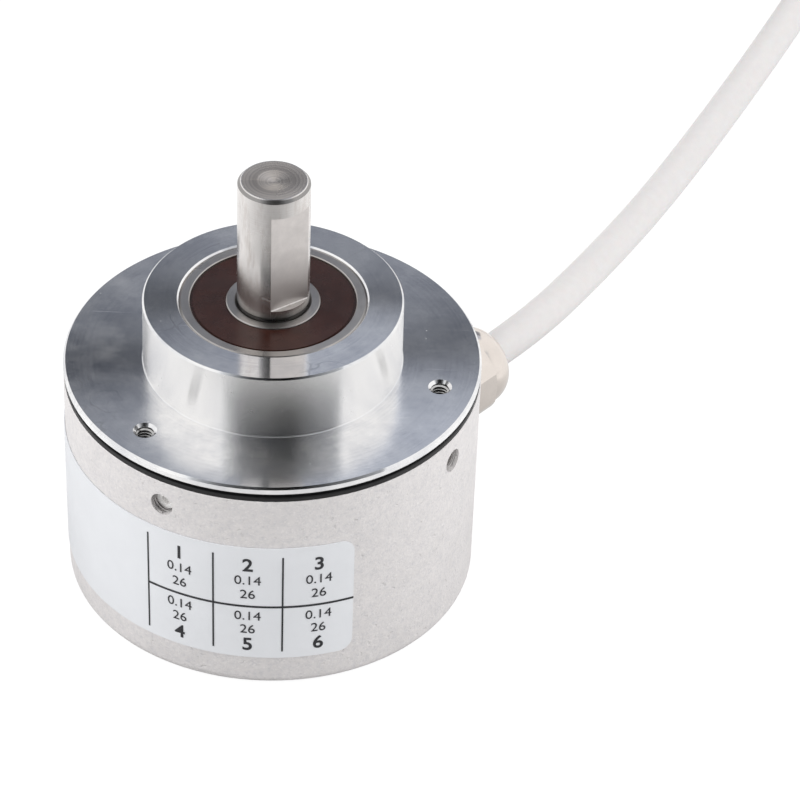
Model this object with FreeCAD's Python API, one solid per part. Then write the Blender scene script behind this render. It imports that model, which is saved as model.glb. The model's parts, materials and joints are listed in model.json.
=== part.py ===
import FreeCAD, Part
import math
import os

from FreeCAD import Vector

# Incremental rotary encoder with a clamping flange, a solid shaft and a side cable gland.
# Frame: millimetres, +Z along the shaft, origin at the middle of the cover's rear face.

# Flange and spigot
flange_diameter = 58.0
flange_rim = 1.0
flange_plate = 4.5
rim_chamfer = 0.3
spigot_diameter = 36.0
spigot_length = 10.0
spigot_chamfer = 0.25
spigot_fillet = 0.15
skirt_width = 5.4
skirt_depth = 10.0
hub_wall = 2.5
hub_overhang = 0.5
bearing_mouth_chamfer = 0.22
bearing_recess = 0.2
web_thickness = 3.0
web_lip = 1.0

# Mounting holes in the flange face
bolt_count = 3
bolt_angle = -134.0
bolt_inset = 2.9
bolt_drill = 2.5
bolt_depth = 6.0
bolt_countersink = 3.3

# Die-cast cover
cover_wall = 2.0
cover_floor = 2.5
cover_draft = 0.7
cover_foot_radius = 1.5
cover_lip_radius = 0.15
cover_core_step = 0.3
cover_corner_radius = 1.0
register_clearance = 0.1
register_depth = 8.15
seal_thickness = 1.35
seal_inset = 0.1
seal_bead_share = 0.5
seal_neck_inset = 0.4
seal_edge_radius = 0.15

# Set screws that hold the cover on the flange
set_screw_count = 4
set_screw_angle = -119.0
set_screw_diameter = 3.0
set_screw_drop = 3.95
set_screw_recess = 1.3
set_screw_groove = 1.0
set_screw_tip = 0.4
set_screw_socket = 1.5
set_screw_socket_depth = 0.6
set_screw_clearance = 0.2

# Label on the cover
label_bottom = 5.2
label_height = 19.8
label_start = -205.0
label_end = -65.0
label_thickness = 0.15
label_corner = 2.0
glue_gap = 0.02

# Shaft
shaft_diameter = 10.0
shaft_projection = 20.0
shaft_chamfer = 0.5
shaft_shoulder = 1.2
shaft_tail_diameter = 6.0
shaft_tail_gap = 0.1
dimple_diameter = 4.7
dimple_depth = 0.35
flat_depth = 1.0
flat_length = 15.6
flat_inset = 2.9
flat_corner = 0.15
flat_angle = -55.0
relief_width = 0.5
relief_depth = 0.2

# Bearings
front_bearing_outside = 26.0
front_bearing_width = 8.0
front_ball = 4.762
rear_bearing_bore = 8.0
rear_bearing_outside = 22.0
rear_bearing_width = 7.0
rear_ball = 3.969
ball_count = 7
ball_clearance = 0.06
ring_edge = 1.5
ring_chamfer = 0.3
ring_land_chamfer = 0.12
race_depth_share = 0.315
cage_gap = 0.6
cage_pocket_gap = 0.12
cage_back = 0.45
cage_front_share = 0.27
bearing_seal_thickness = 0.6
bearing_seal_setback = 0.2
seal_rim = 0.4
seal_rim_drop = 0.15
seal_lip_gap = 0.06
seal_back_gap = 0.15
press_gap = 0.01

# Wave washer that preloads the bearings
spring_height = 1.9
spring_width = 1.3
spring_metal = 0.3
spring_waves = 3
spring_play = 0.02

# Retaining ring on the shaft
clip_thickness = 0.8
clip_width = 1.75
clip_groove = 0.2
clip_lug_radius = 1.2
clip_lug_hole = 0.5
clip_lug_spread = 20.0
clip_opening = 24.0
clip_play = 0.05
clip_margin = 0.55

# Code disc and its hub
disc_thickness = 0.4
disc_slots = 60
disc_slot_length = 3.0
disc_slot_width = 0.8
disc_rim = 1.2
hub_flange_radius = 10.0
hub_flange = 2.4
hub_boss_radius = 5.5
hub_cap = 1.2
disc_clamp_radius = 9.0
disc_clamp_height = 1.2
hub_screw_diameter = 2.4
hub_screw_head = 4.5
hub_screw_head_height = 1.8
hub_screw_socket = 2.0
hub_screw_socket_depth = 1.1
hub_screw_grip = 7.0
hub_boss_drop = 1.8
small_gap = 0.05

# Light source and receiver
sensor_angle = -74.0
sensor_height = 1.8
sensor_radial = 6.0
sensor_across = 8.0
mask_thickness = 0.4
mask_slits = 5
mask_slit_pitch = 1.2
mask_slit_width = 0.5
mask_slit_length = 3.0
optical_gap = 0.8
led_gap = 0.9
led_diameter = 3.0
led_height = 4.2
led_flange = 0.4
led_dome = 0.9
lens_height = 1.2
lens_curve = 1.6
holder_width = 5.0
holder_across = 6.0
holder_foot_across = 14.0
holder_foot = 2.0
holder_clearance = 0.2
led_screw_spread = 5.0
led_screw_diameter = 2.0
led_screw_depth = 2.4
led_screw_head = 3.4
led_screw_head_height = 1.2

# Circuit board
board_thickness = 1.6
board_clearance = 0.7
board_edge_gap = 0.6
board_hole_radius = 7.0
standoff_angle = -104.0
standoff_count = 3
standoff_inset = 3.1
standoff_flats = 4.0
standoff_thread = 2.0
standoff_stud = 3.5
board_screw_head = 3.8
board_screw_head_height = 1.4
board_screw_grip = 5.0
board_screw_slot_width = 0.8
board_screw_slot_depth = 0.6
thread_gap = 0.05
thread_room = 0.5
chip_angles = (-150.0, -60.0)
chip_radius = 16.0
chip_length = 7.0
chip_width = 4.4
chip_height = 1.5
chip_pins = 5
chip_pin_pitch = 1.27
chip_pin_width = 0.4
chip_pin_reach = 1.0
chip_pin_thickness = 0.25
chip_pin_drop = 0.75
capacitor_angles = (150.0, -20.0)
capacitor_radius = 17.0
capacitor_diameter = 5.0
capacitor_height = 6.0
capacitor_edge = 0.4
core_count = 6
terminal_radius = 11.5
terminal_depth = 4.0
terminal_height = 5.0
terminal_pitch = 2.0
terminal_margin = 1.0
terminal_screw_radius = 0.7
terminal_screw_length = 2.2
terminal_screw_slot = 0.3
terminal_bite = 0.8

# Cable gland on the side of the cover
gland_angle = 48.5
gland_height = 9.9
gland_spot_depth = 0.95
gland_spot_radius = 7.0
gland_boss_radius = 6.0
gland_boss_depth = 3.8
gland_stem_radius = 4.95
gland_stem_length = 4.3
gland_flats = 12.0
gland_corner_radius = 6.5
gland_corner_chamfer = 0.35
gland_washer_radius = 6.4
gland_washer_height = 0.8
gland_body_length = 4.4
gland_neck_radius = 4.6
gland_neck_length = 6.0
gland_pocket_depth = 5.0
gland_pocket_wall = 0.6
gland_thread_gap = 1.0
gland_nut_hex = 7.5
gland_dome_length = 4.5
gland_dome_radius = 5.95
gland_dome_bulge = 0.9
gland_mouth_wall = 1.0
gland_thrust_height = 1.0
gland_cable_gap = 0.2

# Cable and its cores
cable_diameter = 5.4
cable_entry_inset = 1.2
core_diameter = 1.0
core_circle = 1.5
core_straight = 2.0
tip_diameter = 0.7
tip_length = 5.0
lead_length = 20.0
lead_straight = 4.0
lead_fan = 0.1
bend_share = 0.45

# The lead's route after the gland: first the gland's mouth, then these points by hand
cable_points = [
    (36.8, 41.6, 9.9),
    (46.6, 61.7, 6.3),
    (57.0, 84.4, 3.2),
    (70.2, 113.6, 2.7),
    (83.2, 144.0, 2.9),
]
cable_end = (95.2, 174.9, 3.3)

# Coil of the lead's other length, wound in two layers from the outside in and out again
coil_inner_turn = 23.5
coil_pitch = 5.6
coil_layer = 5.5
coil_turns_per_layer = 2.98
coil_exit_angle = 90.0
tie_thickness = 0.6
tie_angle = 6.0
tie_places = (40.0, 200.0)

# The lead's tail, from the coil's upper layer down to the surface that it lies on
tail_points = [
    (43.5, 229.3, 8.0),
    (28.0, 230.3, 4.6),
    (13.5, 232.2, 2.7),
    (2.0, 233.0, 2.7),
]

# Places worked out from the sizes above, from the rear face up
board_bottom = gland_height + gland_boss_radius + board_clearance
board_top = board_bottom + board_thickness
mask_top = board_top + sensor_height + mask_thickness
disc_bottom = mask_top + optical_gap
disc_top = disc_bottom + disc_thickness
hub_top = disc_top + hub_flange
clip_bottom = hub_top + clip_margin
clip_top = clip_bottom + clip_thickness
rear_bottom = clip_top + clip_play
rear_top = rear_bottom + rear_bearing_width
web_bottom = rear_top + spring_height
front_bottom = web_bottom + web_thickness
front_top = front_bottom + front_bearing_width
spigot_top = front_top + bearing_recess
flange_face = spigot_top - spigot_length
shaft_end = spigot_top + shaft_projection
rim_under = flange_face - flange_rim
cover_top = rim_under - seal_thickness
plate_under = flange_face - flange_plate
skirt_bottom = flange_face - skirt_depth
hub_end = rear_bottom - hub_overhang
screw_z = cover_top - set_screw_drop

# Radii worked out from the sizes above
rim_radius = flange_diameter / 2
register_radius = rim_radius - cover_wall
plug_radius = register_radius - register_clearance
skirt_inside = plug_radius - skirt_width
bolt_radius = plug_radius - bolt_inset
standoff_radius = plug_radius - standoff_inset
front_seat = front_bearing_outside / 2 + press_gap
rear_seat = rear_bearing_outside / 2 + press_gap
web_radius = rear_seat - web_lip
hub_radius = rear_seat + hub_wall
shaft_radius = shaft_diameter / 2
journal_radius = rear_bearing_bore / 2
tail_radius = shaft_tail_diameter / 2
track_radius = (hub_radius + skirt_inside) / 2
disc_radius = track_radius + disc_slot_length / 2 + disc_rim
cable_radius = cable_diameter / 2
draft_slope = math.tan(math.radians(cover_draft))
gland_seat = rim_radius - draft_slope * (cover_top - gland_height) - gland_spot_depth
gland_mouth = gland_seat + gland_washer_height + gland_body_length + gland_thread_gap
gland_mouth += gland_nut_hex + gland_dome_length
inner_core_radius = register_radius - cover_core_step
core_floor_radius = inner_core_radius - draft_slope * (cover_top - register_depth - cover_floor)
board_radius = core_floor_radius - board_edge_gap

# Places that several pieces share
hub_bottom = disc_bottom - disc_clamp_height - hub_boss_drop
lamp_bottom = disc_top + led_gap + lens_height
terminal_z = board_bottom - terminal_height / 2
gland_hex_start = gland_seat + gland_washer_height
gland_nut_start = gland_hex_start + gland_body_length + gland_thread_gap
gland_seal_start = gland_hex_start + gland_body_length + gland_neck_length - gland_pocket_depth
gland_thrust_start = gland_hex_start + gland_body_length + gland_neck_length + gland_thrust_height
coil_outer_turn = coil_inner_turn + coil_turns_per_layer * coil_pitch
tail_z = tie_thickness + cable_radius + coil_layer

UP = Vector(0, 0, 1)
AXIS_START = Vector(0, 0, 0)


def export(shape, node):
    """Write one node's solid or group of solids."""
    shape.exportStep("parts/" + node + ".step")


def polar(radius, angle, z=0.0):
    turn = math.radians(angle)
    return Vector(radius * math.cos(turn), radius * math.sin(turn), z)


def turned_about_axis(shape, angle):
    """A copy of a shape modelled at angle 0, turned about the shaft's axis."""
    copy = shape.copy()
    copy.rotate(AXIS_START, UP, angle)
    return copy


def repeated(shape, count, first_angle=0.0):
    """Copies of a shape, evenly spaced round the shaft's axis."""
    return [turned_about_axis(shape, first_angle + 360.0 * k / count) for k in range(count)]


def revolved(profile):
    """A full turn of a closed outline of (radius, height) points about the Z axis."""
    points = [Vector(r, 0, z) for r, z in profile]
    outline = Part.makePolygon(points + points[:1])
    return Part.Face(outline).revolve(AXIS_START, UP, 360.0)


def disc(radius, bottom, top):
    return Part.makeCylinder(radius, top - bottom, Vector(0, 0, bottom))


def ring(inner, outer, bottom, top):
    return disc(outer, bottom, top).cut(disc(inner, bottom, top))


def post(radius, x, y, bottom, top):
    return Part.makeCylinder(radius, top - bottom, Vector(x, y, bottom))


def block(x_middle, x_size, y_size, bottom, top):
    """A box at angle 0, centred on the X axis."""
    corner = Vector(x_middle - x_size / 2, -y_size / 2, bottom)
    return Part.makeBox(x_size, y_size, top - bottom, corner)


def hexagon_prism(flats, bottom, top):
    corner = flats / math.sqrt(3.0)
    points = [polar(corner, 60.0 * k, bottom) for k in range(6)]
    face = Part.Face(Part.makePolygon(points + points[:1]))
    return face.extrude(Vector(0, 0, top - bottom))


def on_radius(shape, angle, z):
    """Lay a shape modelled up the Z axis along the radius at this angle and height."""
    copy = shape.copy()
    copy.rotate(AXIS_START, Vector(0, 1, 0), 90.0)
    copy.rotate(AXIS_START, UP, angle)
    copy.translate(Vector(0, 0, z))
    return copy


def circle_edges(shape, radius, z):
    """The round edges about the Z axis with this radius and height."""
    found = []
    for edge in shape.Edges:
        curve = edge.Curve
        if not isinstance(curve, Part.Circle):
            continue
        if abs(curve.Radius - radius) < 1e-4 and abs(curve.Center.z - z) < 1e-4:
            found.append(edge)
    return found


def rounded_path(points):
    """Straight runs joined by tangent arcs, each as large as its shorter run allows."""
    edges = []
    radii = []
    start = points[0]
    for before, corner, after in zip(points, points[1:], points[2:]):
        arriving = (corner - before).normalize()
        leaving = (after - corner).normalize()
        trim = bend_share * min((corner - before).Length, (after - corner).Length)
        half_turn = arriving.getAngle(leaving) / 2
        radius = trim / math.tan(half_turn)
        inward = (leaving - arriving).normalize()
        middle = corner + inward * (radius * (1 / math.cos(half_turn) - 1))
        arc_start = corner - arriving * trim
        arc_end = corner + leaving * trim
        edges.append(Part.LineSegment(start, arc_start).toShape())
        edges.append(Part.Arc(arc_start, middle, arc_end).toShape())
        radii.append(radius)
        start = arc_end
    edges.append(Part.LineSegment(start, points[-1]).toShape())
    return Part.Wire(edges), radii


def tube_along(points, radius):
    """A round solid along a rounded path, and the radii of its arcs."""
    path, radii = rounded_path(points)
    section = Part.Wire(Part.makeCircle(radius, points[0], points[1] - points[0]))
    return path.makePipeShell([section], True, False), radii


def cover_radius_at(z):
    """Outside radius of the drafted cover at a height."""
    return rim_radius - draft_slope * (cover_top - z)


def make_flange():
    """Flange, spigot, plug and bearing seats, turned from one bar."""
    spigot_radius = spigot_diameter / 2
    body = revolved([
        (front_seat + bearing_mouth_chamfer, spigot_top),
        (front_seat, spigot_top - bearing_mouth_chamfer),
        (front_seat, front_bottom),
        (web_radius, front_bottom),
        (web_radius, web_bottom),
        (rear_seat, web_bottom),
        (rear_seat, hub_end),
        (hub_radius, hub_end),
        (hub_radius, plate_under),
        (skirt_inside, plate_under),
        (skirt_inside, skirt_bottom),
        (plug_radius, skirt_bottom),
        (plug_radius, screw_z - set_screw_groove),
        (plug_radius - set_screw_groove, screw_z),
        (plug_radius, screw_z + set_screw_groove),
        (plug_radius, rim_under),
        (rim_radius, rim_under),
        (rim_radius, flange_face - rim_chamfer),
        (rim_radius - rim_chamfer, flange_face),
        (spigot_radius, flange_face),
        (spigot_radius, spigot_top - spigot_chamfer),
        (spigot_radius - spigot_chamfer, spigot_top),
    ])
    body = body.makeFillet(spigot_fillet, circle_edges(body, spigot_radius, flange_face))
    sink = bolt_countersink / 2 - bolt_drill / 2
    drill = revolved([
        (0, flange_face - bolt_depth - bolt_drill / 4),
        (bolt_drill / 2, flange_face - bolt_depth),
        (bolt_drill / 2, flange_face - sink),
        (bolt_countersink / 2, flange_face),
        (0, flange_face),
    ])
    drill.translate(Vector(bolt_radius, 0, 0))
    stud_hole = post(standoff_thread / 2 + thread_gap, standoff_radius, 0,
                     skirt_bottom, skirt_bottom + standoff_stud + thread_room)
    led_hole = post(led_screw_diameter / 2 + thread_gap, track_radius, 0,
                    plate_under, plate_under + led_screw_depth + thread_room)
    cuts = repeated(drill, bolt_count, bolt_angle)
    cuts += repeated(stud_hole, standoff_count, standoff_angle)
    for side in (-1, 1):
        hole = led_hole.copy()
        hole.translate(Vector(0, side * led_screw_spread, 0))
        cuts.append(turned_about_axis(hole, sensor_angle))
    return body.cut(cuts)


def make_cover():
    """Die-cast cup with draft, a register for the plug and a boss for the gland."""
    foot_radius = cover_radius_at(0)
    register_bottom = cover_top - register_depth
    cup = revolved([
        (0, 0),
        (foot_radius, 0),
        (rim_radius, cover_top),
        (register_radius, cover_top),
        (register_radius, register_bottom),
        (inner_core_radius, register_bottom),
        (core_floor_radius, cover_floor),
        (0, cover_floor),
    ])
    cup = cup.makeFillet(cover_foot_radius, circle_edges(cup, foot_radius, 0))
    cup = cup.makeFillet(cover_lip_radius, circle_edges(cup, rim_radius, cover_top))
    cup = cup.makeFillet(cover_corner_radius, circle_edges(cup, core_floor_radius, cover_floor))
    boss_start = gland_seat - gland_boss_depth
    boss = on_radius(disc(gland_boss_radius, boss_start, gland_seat), gland_angle, gland_height)
    spot = disc(gland_spot_radius, gland_seat, gland_seat + 2 * cover_wall)
    bore = disc(gland_stem_radius + thread_gap, boss_start - cover_wall, gland_seat + cover_wall)
    holes = [
        on_radius(spot, gland_angle, gland_height),
        on_radius(bore, gland_angle, gland_height),
    ]
    screw_hole = disc(set_screw_diameter / 2 + set_screw_clearance,
                      register_radius - cover_wall, rim_radius + cover_wall)
    screw_hole = on_radius(screw_hole, 0, screw_z)
    holes += repeated(screw_hole, set_screw_count, set_screw_angle)
    return cup.fuse(boss).cut(holes).removeSplitter()


def make_cover_seal():
    """Rubber ring with a bead on the cover and a thinner neck under the rim."""
    inner = plug_radius + small_gap
    bead = rim_radius - seal_inset
    neck = bead - seal_neck_inset
    bead_top = cover_top + seal_bead_share * seal_thickness
    gasket = revolved([
        (inner, cover_top),
        (bead, cover_top),
        (bead, bead_top),
        (neck, bead_top),
        (neck, rim_under),
        (inner, rim_under),
    ])
    edge_radius = min(seal_edge_radius, 0.45 * seal_neck_inset)
    return gasket.makeFillet(edge_radius, circle_edges(gasket, bead, bead_top))


def make_cover_screws():
    """Cone point set screws that seat in the plug's groove."""
    radius = set_screw_diameter / 2 - small_gap
    tip_start = plug_radius - set_screw_groove + set_screw_tip + small_gap
    cone_end = tip_start + radius - set_screw_tip
    head = cover_radius_at(screw_z) - set_screw_recess
    screw = revolved([
        (0, tip_start),
        (set_screw_tip, tip_start),
        (radius, cone_end),
        (radius, head),
        (0, head),
    ])
    screw = screw.cut(hexagon_prism(set_screw_socket, head - set_screw_socket_depth, head))
    return repeated(on_radius(screw, 0, screw_z), set_screw_count, set_screw_angle)


def make_label():
    """Thin sticker that follows the cover's draft, with rounded corners."""
    label_top = label_bottom + label_height
    low = cover_radius_at(label_bottom) + glue_gap
    high = cover_radius_at(label_top) + glue_gap
    outline = [
        Vector(low, 0, label_bottom),
        Vector(low + label_thickness, 0, label_bottom),
        Vector(high + label_thickness, 0, label_top),
        Vector(high, 0, label_top),
    ]
    section = Part.Face(Part.makePolygon(outline + outline[:1]))
    section.rotate(AXIS_START, UP, label_start)
    sticker = section.revolve(AXIS_START, UP, label_end - label_start)
    corners = [edge for edge in sticker.Edges if edge.Length < 2 * label_thickness]
    return sticker.makeFillet(label_corner, corners)


def make_shaft():
    """Stepped shaft with a flat, a relief at the bearing, a dimple and a hole for the hub's screw."""
    collar = shaft_radius + shaft_shoulder
    tail_end = hub_bottom + hub_cap + shaft_tail_gap
    groove = journal_radius - clip_groove
    body = revolved([
        (0, tail_end),
        (tail_radius, tail_end),
        (tail_radius, hub_top),
        (journal_radius, hub_top),
        (journal_radius, clip_bottom - small_gap),
        (groove, clip_bottom - small_gap),
        (groove, clip_top),
        (journal_radius, clip_top),
        (journal_radius, rear_top),
        (collar, rear_top),
        (collar, front_bottom),
        (shaft_radius, front_bottom),
        (shaft_radius, front_top),
        (shaft_radius - relief_depth, front_top),
        (shaft_radius - relief_depth, front_top + relief_width),
        (shaft_radius, front_top + relief_width),
        (shaft_radius, shaft_end - shaft_chamfer),
        (shaft_radius - shaft_chamfer, shaft_end),
        (dimple_diameter / 2, shaft_end),
        (0, shaft_end - dimple_depth),
    ])
    flat_top = shaft_end - flat_inset
    flat_bottom = flat_top - flat_length
    flat = block(2 * shaft_radius - flat_depth, 2 * shaft_radius, 2 * shaft_diameter,
                 flat_bottom, flat_top)
    corners = [edge for edge in flat.Edges
               if edge.BoundBox.ZMax < flat_bottom + flat_corner
               and edge.BoundBox.XMax < shaft_radius - flat_depth + flat_corner]
    flat = flat.makeFillet(flat_corner, corners)
    tapped = disc(hub_screw_diameter / 2 + thread_gap, tail_end,
                  hub_bottom + hub_screw_grip + thread_room)
    return body.cut([turned_about_axis(flat, flat_angle), tapped])


def bearing(bore, outside, width, ball, bottom):
    """Deep groove ball bearing: rings, balls, crown cage and two seals."""
    pitch_radius = (bore + outside) / 4
    middle = bottom + width / 2
    top = bottom + width
    land = race_depth_share * ball
    seal_depth = bearing_seal_setback + bearing_seal_thickness
    inner_step = bore / 2 + ring_edge
    outer_step = outside / 2 - ring_edge
    inner_depth = seal_depth + seal_back_gap
    race = Part.makeTorus(pitch_radius, ball / 2 + ball_clearance, Vector(0, 0, middle))
    inner_ring = revolved([
        (bore / 2 + press_gap, bottom + ring_chamfer),
        (bore / 2 + press_gap + ring_chamfer, bottom),
        (inner_step - ring_land_chamfer, bottom),
        (inner_step, bottom + ring_land_chamfer),
        (inner_step, bottom + inner_depth),
        (pitch_radius - land, bottom + inner_depth),
        (pitch_radius - land, top - inner_depth),
        (inner_step, top - inner_depth),
        (inner_step, top - ring_land_chamfer),
        (inner_step - ring_land_chamfer, top),
        (bore / 2 + press_gap + ring_chamfer, top),
        (bore / 2 + press_gap, top - ring_chamfer),
    ]).cut(race)
    outer_ring = revolved([
        (outside / 2, bottom + ring_chamfer),
        (outside / 2, top - ring_chamfer),
        (outside / 2 - ring_chamfer, top),
        (outer_step + ring_land_chamfer, top),
        (outer_step, top - ring_land_chamfer),
        (outer_step, top - seal_depth),
        (pitch_radius + land, top - seal_depth),
        (pitch_radius + land, bottom + seal_depth),
        (outer_step, bottom + seal_depth),
        (outer_step, bottom + ring_land_chamfer),
        (outer_step + ring_land_chamfer, bottom),
        (outside / 2 - ring_chamfer, bottom),
    ]).cut(race)
    balls = repeated(Part.makeSphere(ball / 2, Vector(pitch_radius, 0, middle)), ball_count)
    pockets = repeated(
        Part.makeSphere(ball / 2 + cage_pocket_gap, Vector(pitch_radius, 0, middle)), ball_count)
    cage_half = land - cage_gap
    cage = ring(pitch_radius - cage_half, pitch_radius + cage_half,
                middle - ball / 2 - cage_pocket_gap - cage_back, middle + cage_front_share * ball)
    seal_inner = inner_step + seal_lip_gap
    seal_outer = outer_step - press_gap
    seal_top = top - bearing_seal_setback
    upper = revolved([
        (seal_inner, top - seal_depth),
        (seal_outer, top - seal_depth),
        (seal_outer, seal_top - seal_rim_drop),
        (seal_outer - seal_rim, seal_top - seal_rim_drop),
        (seal_outer - seal_rim, seal_top),
        (seal_inner, seal_top),
    ])
    lower = upper.mirror(Vector(0, 0, middle), UP)
    return {
        "outer_ring": outer_ring,
        "inner_ring": inner_ring,
        "balls": Part.makeCompound(balls),
        "cage": cage.cut(pockets),
        "upper_seal": upper,
        "lower_seal": lower,
    }


def make_preload_spring():
    """Wave washer: a ring whose middle line rises and falls between the two seats."""
    outer = rear_seat - small_gap
    inner = outer - spring_width
    lowest = rear_top + spring_play
    rise = (spring_height - 2 * spring_play - spring_metal) / 2
    steps = 12 * spring_waves

    def wave(radius):
        points = []
        for k in range(steps):
            angle = 360.0 * k / steps
            height = lowest + rise * (1 - math.cos(math.radians(angle * spring_waves)))
            points.append(polar(radius, angle, height))
        curve = Part.BSplineCurve()
        curve.interpolate(points, PeriodicFlag=True)
        return curve.toShape()

    band = Part.makeRuledSurface(wave(inner), wave(outer))
    return band.extrude(Vector(0, 0, spring_metal))


def make_retaining_ring():
    """Open ring with two lugs that have a hole each for the pliers."""
    inner = journal_radius - clip_groove + small_gap
    outer = journal_radius + clip_width
    body = ring(inner, outer, clip_bottom, clip_top)
    opening = []
    half_opening = math.radians(clip_opening / 2)
    reach = 2 * outer
    wedge = [
        Vector(0, 0, clip_bottom),
        Vector(reach * math.cos(half_opening), -reach * math.sin(half_opening), clip_bottom),
        Vector(reach * math.cos(half_opening), reach * math.sin(half_opening), clip_bottom),
    ]
    wedge_face = Part.Face(Part.makePolygon(wedge + wedge[:1]))
    opening.append(wedge_face.extrude(Vector(0, 0, clip_thickness)))
    lugs = []
    for side in (-1, 1):
        place = polar(outer, side * (clip_opening / 2 + clip_lug_spread))
        lugs.append(post(clip_lug_radius, place.x, place.y, clip_bottom, clip_top))
        opening.append(post(clip_lug_hole, place.x, place.y, clip_bottom, clip_top))
    shaft_room = disc(inner, clip_bottom, clip_top)
    return body.fuse(lugs).cut(opening + [shaft_room])


def make_disc_hub():
    bore = tail_radius + press_gap
    return revolved([
        (hub_screw_diameter / 2 + small_gap, hub_bottom),
        (hub_boss_radius, hub_bottom),
        (hub_boss_radius, disc_top),
        (hub_flange_radius, disc_top),
        (hub_flange_radius, hub_top),
        (bore, hub_top),
        (bore, hub_bottom + hub_cap),
        (hub_screw_diameter / 2 + small_gap, hub_bottom + hub_cap),
    ])


def make_code_disc():
    """Disc with one track of slots."""
    plate = ring(hub_boss_radius + small_gap, disc_radius, disc_bottom, disc_top)
    slot = block(track_radius, disc_slot_length, disc_slot_width, disc_bottom, disc_top)
    return plate.cut(repeated(slot, disc_slots))


def make_hub_screw():
    head_bottom = hub_bottom - hub_screw_head_height
    head = disc(hub_screw_head / 2, head_bottom, hub_bottom)
    shank = disc(hub_screw_diameter / 2, hub_bottom, hub_bottom + hub_screw_grip)
    socket = hexagon_prism(hub_screw_socket, head_bottom, head_bottom + hub_screw_socket_depth)
    return head.fuse(shank).cut(socket).removeSplitter()


def make_led_holder():
    """Moulded arm in the flange's channel, with a bore for the lamp and two screw holes."""
    bottom = disc_top + led_gap
    foot_bottom = plate_under - holder_foot
    arm = block(track_radius, holder_width, holder_across, bottom, plate_under)
    foot = block(track_radius, holder_width, holder_foot_across, foot_bottom, plate_under)
    lamp_radius = led_diameter / 2 + small_gap
    collar_radius = lamp_radius + led_flange
    cuts = [
        post(collar_radius, track_radius, 0, bottom, lamp_bottom),
        post(lamp_radius, track_radius, 0, lamp_bottom, plate_under),
        post(collar_radius, track_radius, 0, lamp_bottom + led_height - led_flange, plate_under),
    ]
    for side in (-1, 1):
        cuts.append(post(led_screw_diameter / 2 + small_gap, track_radius,
                         side * led_screw_spread, foot_bottom, plate_under))
    room = ring(hub_radius + holder_clearance, skirt_inside - holder_clearance, bottom, plate_under)
    holder = arm.fuse(foot).common(room).cut(cuts).removeSplitter()
    return turned_about_axis(holder, sensor_angle)


def make_led():
    """Lamp that shines down, with a domed end and a collar at its top."""
    radius = led_diameter / 2
    lamp_top = lamp_bottom + led_height
    body = disc(radius, lamp_bottom, lamp_top)
    body = body.makeFillet(min(led_dome, 0.9 * radius), circle_edges(body, radius, lamp_bottom))
    collar = disc(radius + led_flange, lamp_top - led_flange, lamp_top)
    lamp = body.fuse(collar).removeSplitter()
    lamp.translate(Vector(track_radius, 0, 0))
    return turned_about_axis(lamp, sensor_angle)


def make_led_lens():
    """Lens in the mouth of the holder, under the lamp."""
    radius = led_diameter / 2 + led_flange
    bottom = disc_top + led_gap
    curve = lens_curve * radius
    bulge = Part.makeSphere(curve, Vector(0, 0, bottom + curve))
    lens = disc(radius, bottom, bottom + lens_height).common(bulge)
    lens.translate(Vector(track_radius, 0, 0))
    return turned_about_axis(lens, sensor_angle)


def make_led_screws():
    foot_bottom = plate_under - holder_foot
    screws = []
    for side in (-1, 1):
        y = side * led_screw_spread
        head = post(led_screw_head / 2, track_radius, y,
                    foot_bottom - led_screw_head_height, foot_bottom)
        shank = post(led_screw_diameter / 2, track_radius, y,
                     foot_bottom, plate_under + led_screw_depth)
        screws.append(turned_about_axis(head.fuse(shank), sensor_angle))
    return screws


def make_main_board():
    plate = ring(board_hole_radius, board_radius, board_bottom, board_top)
    hole = post(standoff_thread / 2 + small_gap, standoff_radius, 0, board_bottom, board_top)
    return plate.cut(repeated(hole, standoff_count, standoff_angle))


def make_standoffs():
    """Hexagon spacers that hang from the flange and carry the board."""
    body = hexagon_prism(standoff_flats, board_top, skirt_bottom)
    stud = disc(standoff_thread / 2, skirt_bottom, skirt_bottom + standoff_stud)
    bore = disc(standoff_thread / 2 + thread_gap, board_top,
                board_top + board_screw_grip - board_thickness + thread_gap)
    spacer = body.fuse(stud).cut(bore)
    spacer.translate(Vector(standoff_radius, 0, 0))
    return repeated(spacer, standoff_count, standoff_angle)


def make_board_screws():
    head_bottom = board_bottom - board_screw_head_height
    head = disc(board_screw_head / 2, head_bottom, board_bottom)
    shank = disc(standoff_thread / 2, board_bottom, board_bottom + board_screw_grip)
    slot = block(0, board_screw_head, board_screw_slot_width,
                 head_bottom, head_bottom + board_screw_slot_depth)
    screw = head.fuse(shank).cut(slot)
    screw.translate(Vector(standoff_radius, 0, 0))
    return repeated(screw, standoff_count, standoff_angle)


def make_sensor_chip():
    chip = block(track_radius, sensor_radial, sensor_across, board_top, board_top + sensor_height)
    return turned_about_axis(chip, sensor_angle)


def make_mask_plate():
    """Slit plate on the receiver, one slit over each of its light cells."""
    bottom = board_top + sensor_height
    plate = block(track_radius, sensor_radial, sensor_across, bottom, bottom + mask_thickness)
    slits = []
    for k in range(mask_slits):
        slit = block(track_radius, mask_slit_length, mask_slit_width,
                     bottom, bottom + mask_thickness)
        slit.translate(Vector(0, (k - (mask_slits - 1) / 2) * mask_slit_pitch, 0))
        slits.append(slit)
    return turned_about_axis(plate.cut(slits), sensor_angle)


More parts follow.
